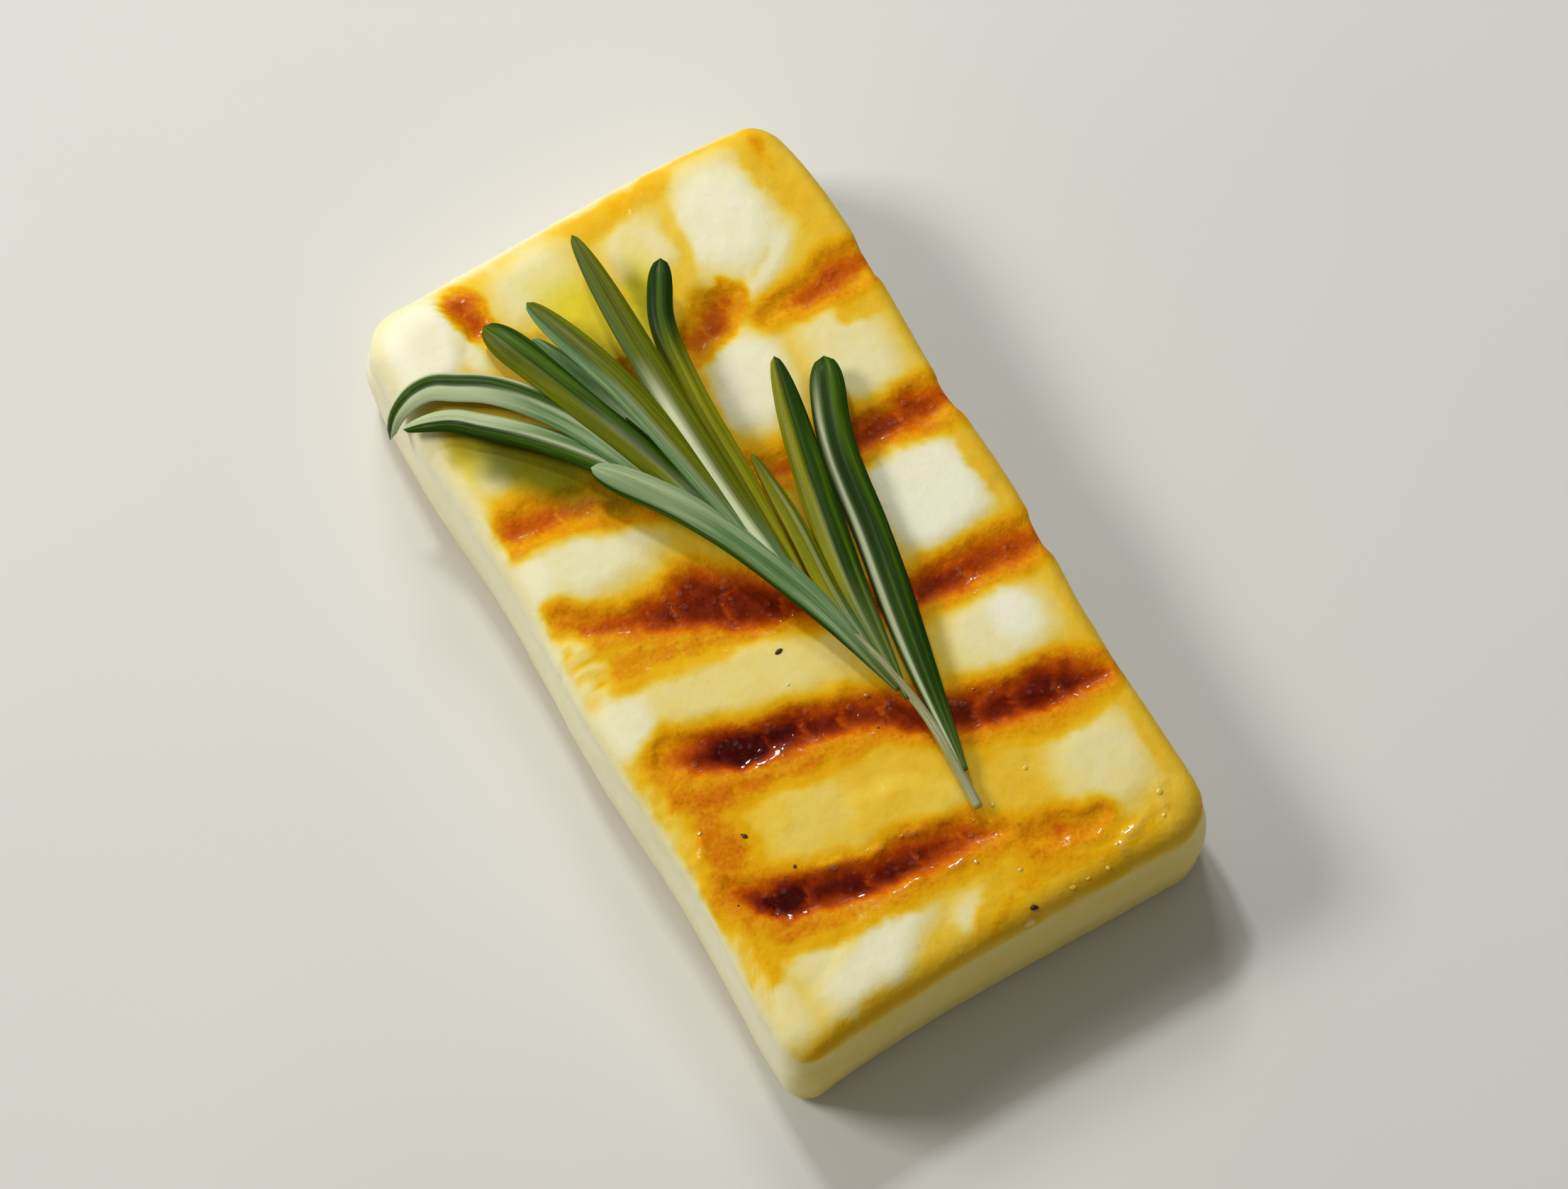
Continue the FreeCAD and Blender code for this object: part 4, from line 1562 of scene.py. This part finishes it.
NEEDLES = (
    Needle("edge_long", 3.1,
           ((22.6, 4.3, 0.2), (12.0, 5.9, 0.5), (1.0, 8.0, 0.7), (-7.6, 9.5, 1.0), (-14.1, 12.2, 1.2)),
           split=0.62, line=0.95, line_width=0.15, root_until=0.1, roll=-14.0, blunt=0.9),
    Needle("edge_sharp", 2.9,
           ((15.0, 3.3, 0.5), (4.0, 4.2, 1.0), (-5.0, 5.9, 1.4), (-15.9, 8.5, 1.9)),
           edge=Tone.OLIVE, split=0.20, line=0.2, line_width=0.12, line_until=0.6, roll=-6.0, blunt=0.55),
    Needle("inner_pale", 1.7,
           ((13.0, 2.8, 0.8), (4.0, 2.3, 1.4), (-2.5, 2.7, 1.6), (-9.6, 2.7, 1.5)),
           Tone.OLIVE, Tone.MOSS, side=-1.0, line=0.5, root=Tone.SAGE, blunt=0.5),
    Needle("back_dark", 2.2,
           ((4.0, 0.9, 1.4), (-8.0, 0.9, 1.9), (-17.0, 1.1, 2.2), (-23.2, 2.0, 2.4), (-27.9, 4.6, 2.6)),
           split=0.9, root=Tone.OLIVE, root_until=0.74, roll=-10.0, blunt=0.9),
    Needle("far_long", 2.5,
           ((5.0, 0.5, 1.6), (-8.0, -0.7, 2.4), (-20.0, -1.0, 3.0), (-33.3, -0.8, 2.9)),
           Tone.MOSS, Tone.FERN, split=0.42, line=1.2, line_width=0.40, line_until=0.60,
           root=Tone.SAGE, root_until=0.2, roll=-12.0),
    Needle("far_blunt", 2.5,
           ((2.0, -0.4, 1.5), (-9.0, -1.9, 2.4), (-19.0, -3.7, 3.0), (-30.3, -6.8, 1.8)),
           Tone.MOSS, Tone.SAGE, split=0.40, line=0.3, line_width=0.2, line_until=0.7,
           root=Tone.SAGE, root_until=0.25, roll=4.0, blunt=0.75),
    Needle("sage_under", 2.4,
           ((0.0, -1.2, 1.2), (-11.0, -3.0, 1.5), (-20.0, -5.4, 1.3), (-27.6, -7.8, 0.8)),
           Tone.SAGE, Tone.SAGE, split=0.0, line=0.5, line_width=0.25, line_until=0.7,
           root=Tone.SAGE, root_until=0.2),
    Needle("middle_dark", 3.0,
           ((-1.0, -1.4, 1.1), (-11.0, -3.8, 1.4), (-21.0, -7.2, 1.1), (-30.7, -10.7, 0.4)),
           edge=Tone.MOSS, split=0.10, line=0.25, line_width=0.14, line_until=0.6,
           root=Tone.SAGE, root_until=0.25, roll=-4.0, blunt=0.86),
    Needle("front_low", 2.4,
           ((-3.0, -2.0, 0.9), (-13.0, -6.6, 0.6), (-19.6, -11.4, 0.3), (-24.8, -16.8, 0.1)),
           Tone.SAGE, Tone.DEEP, split=0.05, line=0.8, line_width=0.14, line_until=0.7,
           root=Tone.MOSS, roll=8.0, blunt=0.7, bleach=0.75,
           hang=((-26.0, -19.0, 14.0), (-26.8, -20.6, 12.9))),
    Needle("broad_sage", 2.7,
           ((14.0, 3.0, 0.6), (5.9, 1.2, 1.3), (-2.4, -1.7, 1.9), (-8.2, -4.7, 2.1), (-15.0, -9.4, 1.8)),
           Tone.SAGE, Tone.DEEP, split=0.72, root_until=0.15, blunt=0.84, bleach=0.3),
    Needle("curled", 2.7,
           ((-2.0, -1.7, 1.0), (-12.0, -5.2, 0.9), (-20.4, -8.9, 0.6), (-26.0, -13.4, 0.3),
            (-28.4, -17.3, 0.1)),
           edge=Tone.SAGE, split=0.05, line=0.6, line_width=0.14, line_until=0.7,
           root_until=0.35, roll=6.0, blunt=0.75, bleach=0.85, outline=0.95,
           hang=((-28.4, -19.4, 13.9), (-27.9, -20.9, 12.3), (-27.4, -21.6, 10.2))),
)


@dataclass
class RosemarySprig:
    """The stem and its fan of needles."""

    slice_: HalloumiSlice
    gap: float = 0.25
    stem_radius: float = 0.42
    stem_tip: float = 0.3
    cut_share: float = 0.82
    stem_stations: int = 90
    stem_sides: int = 20
    stem_points: tuple = ((25.8, 3.7, 0.0), (16.5, 3.9, 0.2), (8.5, 2.3, 0.9), (0.8, -0.6, 1.4),
                          (-7.5, -2.0, 1.5))

    def make_stem(self, origin: Array, finish: bpy.types.Material) -> bpy.types.Object:
        """Sweep the stem: a ridged round section that narrows to the bud.

        Args:
            origin: where the slice's plan has its origin, in metres.
            finish: its material.

        Returns:
            The stem.
        """
        count = self.stem_stations
        laid = spline(np.array(self.stem_points, dtype=float), 16)
        laid[:, 2] += self.slice_.crest(laid[:, 0], laid[:, 1]) + self.gap + self.stem_radius
        path = spline(laid, count)
        half = np.linspace(self.stem_radius, self.stem_tip, count)
        half[0] *= self.cut_share
        skin = sweep(path, half, self.stem_section, np.zeros(count), self.stem_sides)
        piece = make_piece("sprig_stem", skin, origin, finish)
        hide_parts("rosemary_sprig")
        return piece

    @staticmethod
    def stem_section(angle: Array, place: Array) -> tuple:
        """Sideways and upward shares of a circle with seven twisting ridges."""
        ridge = 1.0 + 0.07 * np.sin(7.0 * angle + 5.0 * place)
        return np.cos(angle) * ridge, np.sin(angle) * ridge

    def make_needles(self, origin: Array, finish: bpy.types.Material) -> bpy.types.Object:
        """Sweep all the needles and join them into one piece.

        Args:
            origin: where the slice's plan has its origin, in metres.
            finish: their material.

        Returns:
            The needles.
        """
        skins = [needle.skin(self.slice_, self.gap) for needle in NEEDLES]
        piece = make_piece("sprig_needles", join_skins(skins), origin, finish)
        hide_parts("rosemary_sprig")
        return piece


# --------------------------------------------------------------------- lumps
@dataclass(frozen=True)
class Lumps:
    """Small rounded lumps that sit in the grilled top: oil beads or crumbs.

    Attributes:
        name: the piece's name.
        seed: start of its random draws.
        count: how many are scattered besides the named spots.
        smallest: least half length in millimetres.
        largest: greatest half length.
        height: half height as a share of the half length.
        slender: half width as a share of the half length.
        uneven: how far their surface swells and shrinks.
        brown_from: least browning of a place where they are scattered.
        brown_to: greatest browning there.
        spots: named ones, as x, y, half length and turn in degrees.
        sink: how deep they sit, as a share of their height.
        lowest: least height of a seat, as a share of the slice's thickness.
    """

    name: str
    seed: int
    count: int
    smallest: float
    largest: float
    height: float
    slender: float
    uneven: float
    brown_from: float
    brown_to: float
    spots: tuple
    sink: float = 0.3
    lowest: float = 0.93

    def _scatter(self, face: GrilledFace) -> Array:
        """Named spots, then seeded ones where the browning is in range.

        Args:
            face: the grilled face.

        Returns:
            One row for each lump: x, y, half length and turn.
        """
        rng = np.random.default_rng(self.seed)
        tries = 40 * self.count + 1
        x, y = rng.uniform(3.0, 36.0, tries), rng.uniform(-18.0, 17.0, tries)
        brown = face.read(x, y)["brown"]
        fit = np.flatnonzero((brown > self.brown_from) & (brown < self.brown_to))[:self.count]
        half = rng.uniform(self.smallest, self.largest, tries)
        turn = rng.uniform(0.0, np.pi, tries)
        named = np.array([(a, b, half_length, math.radians(angle))
                          for a, b, half_length, angle in self.spots])
        return np.concatenate((named, np.column_stack((x, y, half, turn))[fit]))

    @staticmethod
    def _ball() -> tuple:
        """Make a unit ball of rings between two poles.

        Returns:
            Its points, with the two poles last, and its faces.
        """
        rings, around = 7, 12
        rise = np.linspace(-0.5 * np.pi, 0.5 * np.pi, rings + 2)[1:-1, None]
        turn = np.linspace(0.0, 2.0 * np.pi, around, endpoint=False)[None, :]
        ball = np.stack((np.cos(rise) * np.cos(turn), np.cos(rise) * np.sin(turn),
                         np.sin(rise) + 0.0 * turn), axis=-1).reshape(-1, 3)
        poles = ((0.0, 0.0, -1.0), (0.0, 0.0, 1.0))
        return np.concatenate((ball, poles)), tube_faces(rings, around)

    def make(self, slice_: HalloumiSlice, skin_points: Array, origin: Array,
             finish: bpy.types.Material) -> bpy.types.Object:
        """Seat a stretched, uneven copy of the ball at each place.

        Each one moves to the nearest point of the skin's top, and sinks in.

        Args:
            slice_: the cheese that they sit in.
            skin_points: vertices of its skin.
            origin: where the slice's plan has its origin, in metres.
            finish: their material.

        Returns:
            All of them as one piece.
        """
        rows = self._scatter(slice_.face)
        upper = skin_points[skin_points[:, 2] > self.lowest * slice_.thickness]
        gaps = np.hypot(upper[None, :, 0] - rows[:, 0, None], upper[None, :, 1] - rows[:, 1, None])
        seats = upper[np.argmin(gaps, axis=1)]
        ball, ball_faces = self._ball()
        lattice = Lattice(self.seed)
        offsets = np.arange(len(rows))[:, None, None]
        where = ball[None] * 0.9 + 5.0 * offsets
        swell = 1.0 + self.uneven * lattice.at(where.reshape(-1, 3)).reshape(len(rows), -1, 1)
        shape = ball[None] * swell * np.array((1.0, self.slender, self.height)) * rows[:, 2, None, None]
        cos, sin = np.cos(rows[:, 3])[:, None], np.sin(rows[:, 3])[:, None]
        seat = seats[:, 2] + (1.0 - 2.0 * self.sink) * self.height * rows[:, 2]
        points = np.stack((seats[:, 0, None] + shape[..., 0] * cos - shape[..., 1] * sin,
                           seats[:, 1, None] + shape[..., 0] * sin + shape[..., 1] * cos,
                           seat[:, None] + shape[..., 2]), axis=-1).reshape(-1, 3)
        face = slice_.face.read(points[:, 0], points[:, 1])
        # The beads take the top's fields, including the sprig's painted light and shadow.
        fields = {name: face[name] for name in ("brown", "grain", "gloss", "needle_light", "sprig_shadow")}
        faces = [(block[None] + len(ball) * offsets).reshape(-1, block.shape[1])
                 for block in ball_faces]
        piece = make_piece(self.name, Skin(points, faces, fields), origin, finish)
        return piece


OIL_BEADS = Lumps("oil_beads", seed=5, count=14, smallest=0.10, largest=0.20, height=0.34,
                  slender=0.82, uneven=0.3, brown_from=0.60, brown_to=0.97, sink=0.62, spots=(
    (33.9, 12.2, 0.26, 120.0), (35.9, 10.6, 0.30, 140.0), (36.4, 8.8, 0.22, 95.0),
    (33.7, 16.6, 0.24, 120.0), (31.7, 17.5, 0.28, 160.0), (24.5, 9.0, 0.28, 30.0),
    (26.0, 4.9, 0.24, 150.0), (35.2, 7.2, 0.30, 60.0), (31.7, 4.3, 0.24, 85.0),
    (29.3, 1.4, 0.26, 30.0), (12.2, -9.0, 0.22, 70.0), (13.6, -7.8, 0.20, 20.0),
    (8.8, -4.3, 0.18, 80.0), (12.6, 0.8, 0.20, 40.0), (24.6, -2.8, 0.22, 88.0),
    (24.1, -5.8, 0.24, 80.0), (16.2, -16.9, 0.26, 155.0)))

CRUMBS = Lumps("burnt_crumbs", seed=9, count=6, smallest=0.09, largest=0.15, height=0.6,
               slender=0.6, uneven=0.5, brown_from=0.6, brown_to=1.1, sink=0.45, spots=(
    (5.7, -3.5, 0.30, 100.0), (18.1, -13.8, 0.28, 30.0), (22.4, -11.7, 0.18, 0.0),
    (35.4, 3.6, 0.32, 70.0)))


# --------------------------------------------------------------------- studio
@dataclass(frozen=True)
class Lamp:
    """A square soft light: place and side in metres, power in watts."""

    name: str
    place: tuple
    side: float
    power: float
    colour: tuple = WHITE

    def hang(self, target: Vector) -> None:
        """Hang the light so that it looks at the target.

        Args:
            target: the place to look at, in metres.
        """
        light = bpy.data.lights.new(self.name, "AREA")
        light.shape = "SQUARE"
        light.size = self.side
        light.energy = self.power
        light.color = self.colour
        holder = bpy.data.objects.new(self.name, light)
        holder.location = self.place
        aim = target - Vector(self.place)
        holder.rotation_mode = "QUATERNION"
        holder.rotation_quaternion = aim.to_track_quat("-Z", "Y")
        bpy.context.scene.collection.objects.link(holder)


@dataclass
class Studio:
    """Pale floor, soft lights and the camera, in metres and degrees."""

    azimuth: float = 60.0
    elevation: float = 71.0
    distance: float = 0.9
    nearest: float = 0.05
    furthest: float = 10.0
    lens: float = 250.0
    sensor: float = 36.0
    floor_half: float = 1.5
    floor_tones: tuple = ((0.3, (214, 213, 209)), (0.7, (218, 217, 213)))
    air: tuple = (1.0, 0.97, 0.88, 1.0)
    air_strength: float = 0.20
    lamps: tuple = (
        Lamp("key", (-0.45, -0.50, 0.62), 0.28, 4.5, (1.0, 0.98, 0.91)),
        Lamp("side", (-0.62, 0.22, 0.55), 0.16, 1.4),
        Lamp("glint", (-0.36, 0.03, 0.50), 0.06, 1.1),
    )

    def make_floor(self) -> bpy.types.Object:
        """Lay a plain pale floor under the slice.

        Returns:
            The floor, which belongs to the stage and not to the slice.
        """
        shop = Shop("pale_floor")
        tone = shop.noise(shop.place(), 60.0, 2.0)
        colour = shop.ramp(tone, self.floor_tones)
        finish = shop.finish({"Roughness": 0.6}, {"Base Color": colour})
        half = self.floor_half
        mesh = bpy.data.meshes.new("floor")
        corners = [(-half, -half, 0.0), (half, -half, 0.0), (half, half, 0.0), (-half, half, 0.0)]
        mesh.from_pydata(corners, [], [(0, 1, 2, 3)])
        mesh.materials.append(finish)
        floor = bpy.data.objects.new("floor", mesh)
        bpy.context.scene.collection.objects.link(floor)
        LOG.info("floor: %d vertices, %d face", len(mesh.vertices), len(mesh.polygons))
        return floor

    def make(self, target: Vector) -> None:
        """Build the studio round the target.

        Args:
            target: the place that the lights and the camera look at.
        """
        self.make_floor()
        for lamp in self.lamps:
            lamp.hang(target)
        world = bpy.data.worlds.new("studio_air")
        world.use_nodes = True
        air = world.node_tree.nodes["Background"]
        air.inputs["Color"].default_value = self.air
        air.inputs["Strength"].default_value = self.air_strength
        bpy.context.scene.world = world
        bpy.context.scene.view_settings.view_transform = "Standard"
        self.make_camera(target)

    def make_camera(self, target: Vector) -> None:
        """Look at the target from the studio's azimuth and elevation.

        Args:
            target: the place to look at, in metres.
        """
        lens = bpy.data.cameras.new("camera")
        lens.lens = self.lens
        lens.sensor_width = self.sensor
        around, above = math.radians(self.azimuth), math.radians(self.elevation)
        back = Vector((math.sin(around) * math.cos(above), -math.cos(around) * math.cos(above),
                       math.sin(above)))
        camera = bpy.data.objects.new("camera", lens)
        camera.location = target + back * self.distance
        camera.rotation_mode = "QUATERNION"
        camera.rotation_quaternion = (-back).to_track_quat("-Z", "Y")
        lens.clip_start, lens.clip_end = self.nearest, self.furthest
        bpy.context.scene.collection.objects.link(camera)
        bpy.context.scene.camera = camera


def plan_origin(plan: SlicePlan) -> Array:
    """Find where the plan's origin lies in the frame, in metres.

    The middle of the plan's own outline is set over the middle of the
    slice's box in the frame.

    Args:
        plan: the slice's plan.

    Returns:
        The place of the plan's origin, on the floor.
    """
    low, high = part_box("halloumi_slice")
    run = np.linspace(-1.0, 1.0, 201)
    ones = np.ones(len(run))
    edge_x = np.concatenate((run, run, ones, -ones))
    edge_y = np.concatenate((ones, -ones, run, run))
    x, y = plan.warp(*plan.rim(edge_x, edge_y, np.zeros(len(edge_x))))
    own_x, own_y = middle_of(x.min(), x.max()) * MM, middle_of(y.min(), y.max()) * MM
    return np.array((middle_of(low.x, high.x) - own_x, middle_of(low.y, high.y) - own_y, 0.0))


def main() -> None:
    """Build the slice, the sprig and the studio."""
    logging.basicConfig(level=logging.INFO, format="%(name)s %(message)s")
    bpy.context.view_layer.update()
    plan = SlicePlan()
    origin = plan_origin(plan)
    LOG.info("plan origin %s", origin)
    cheese = HalloumiSlice(plan, GrilledFace())
    skin = cheese.skin()
    cheese.make(skin, origin, CheeseFinish().make())
    OIL_BEADS.make(cheese, skin.points, origin, CheeseFinish("oiled_crust", True).make())
    CRUMBS.make(cheese, skin.points, origin, CharFinish().make())
    sprig = RosemarySprig(cheese)
    sprig.make_stem(origin, StemFinish().make())
    sprig.make_needles(origin, NeedleFinish().make())
    low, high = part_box("halloumi_slice")
    Studio().make(Vector((middle_of(low.x, high.x), middle_of(low.y, high.y), AIM_HEIGHT)))
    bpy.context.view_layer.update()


if __name__ == "__main__":
    main()
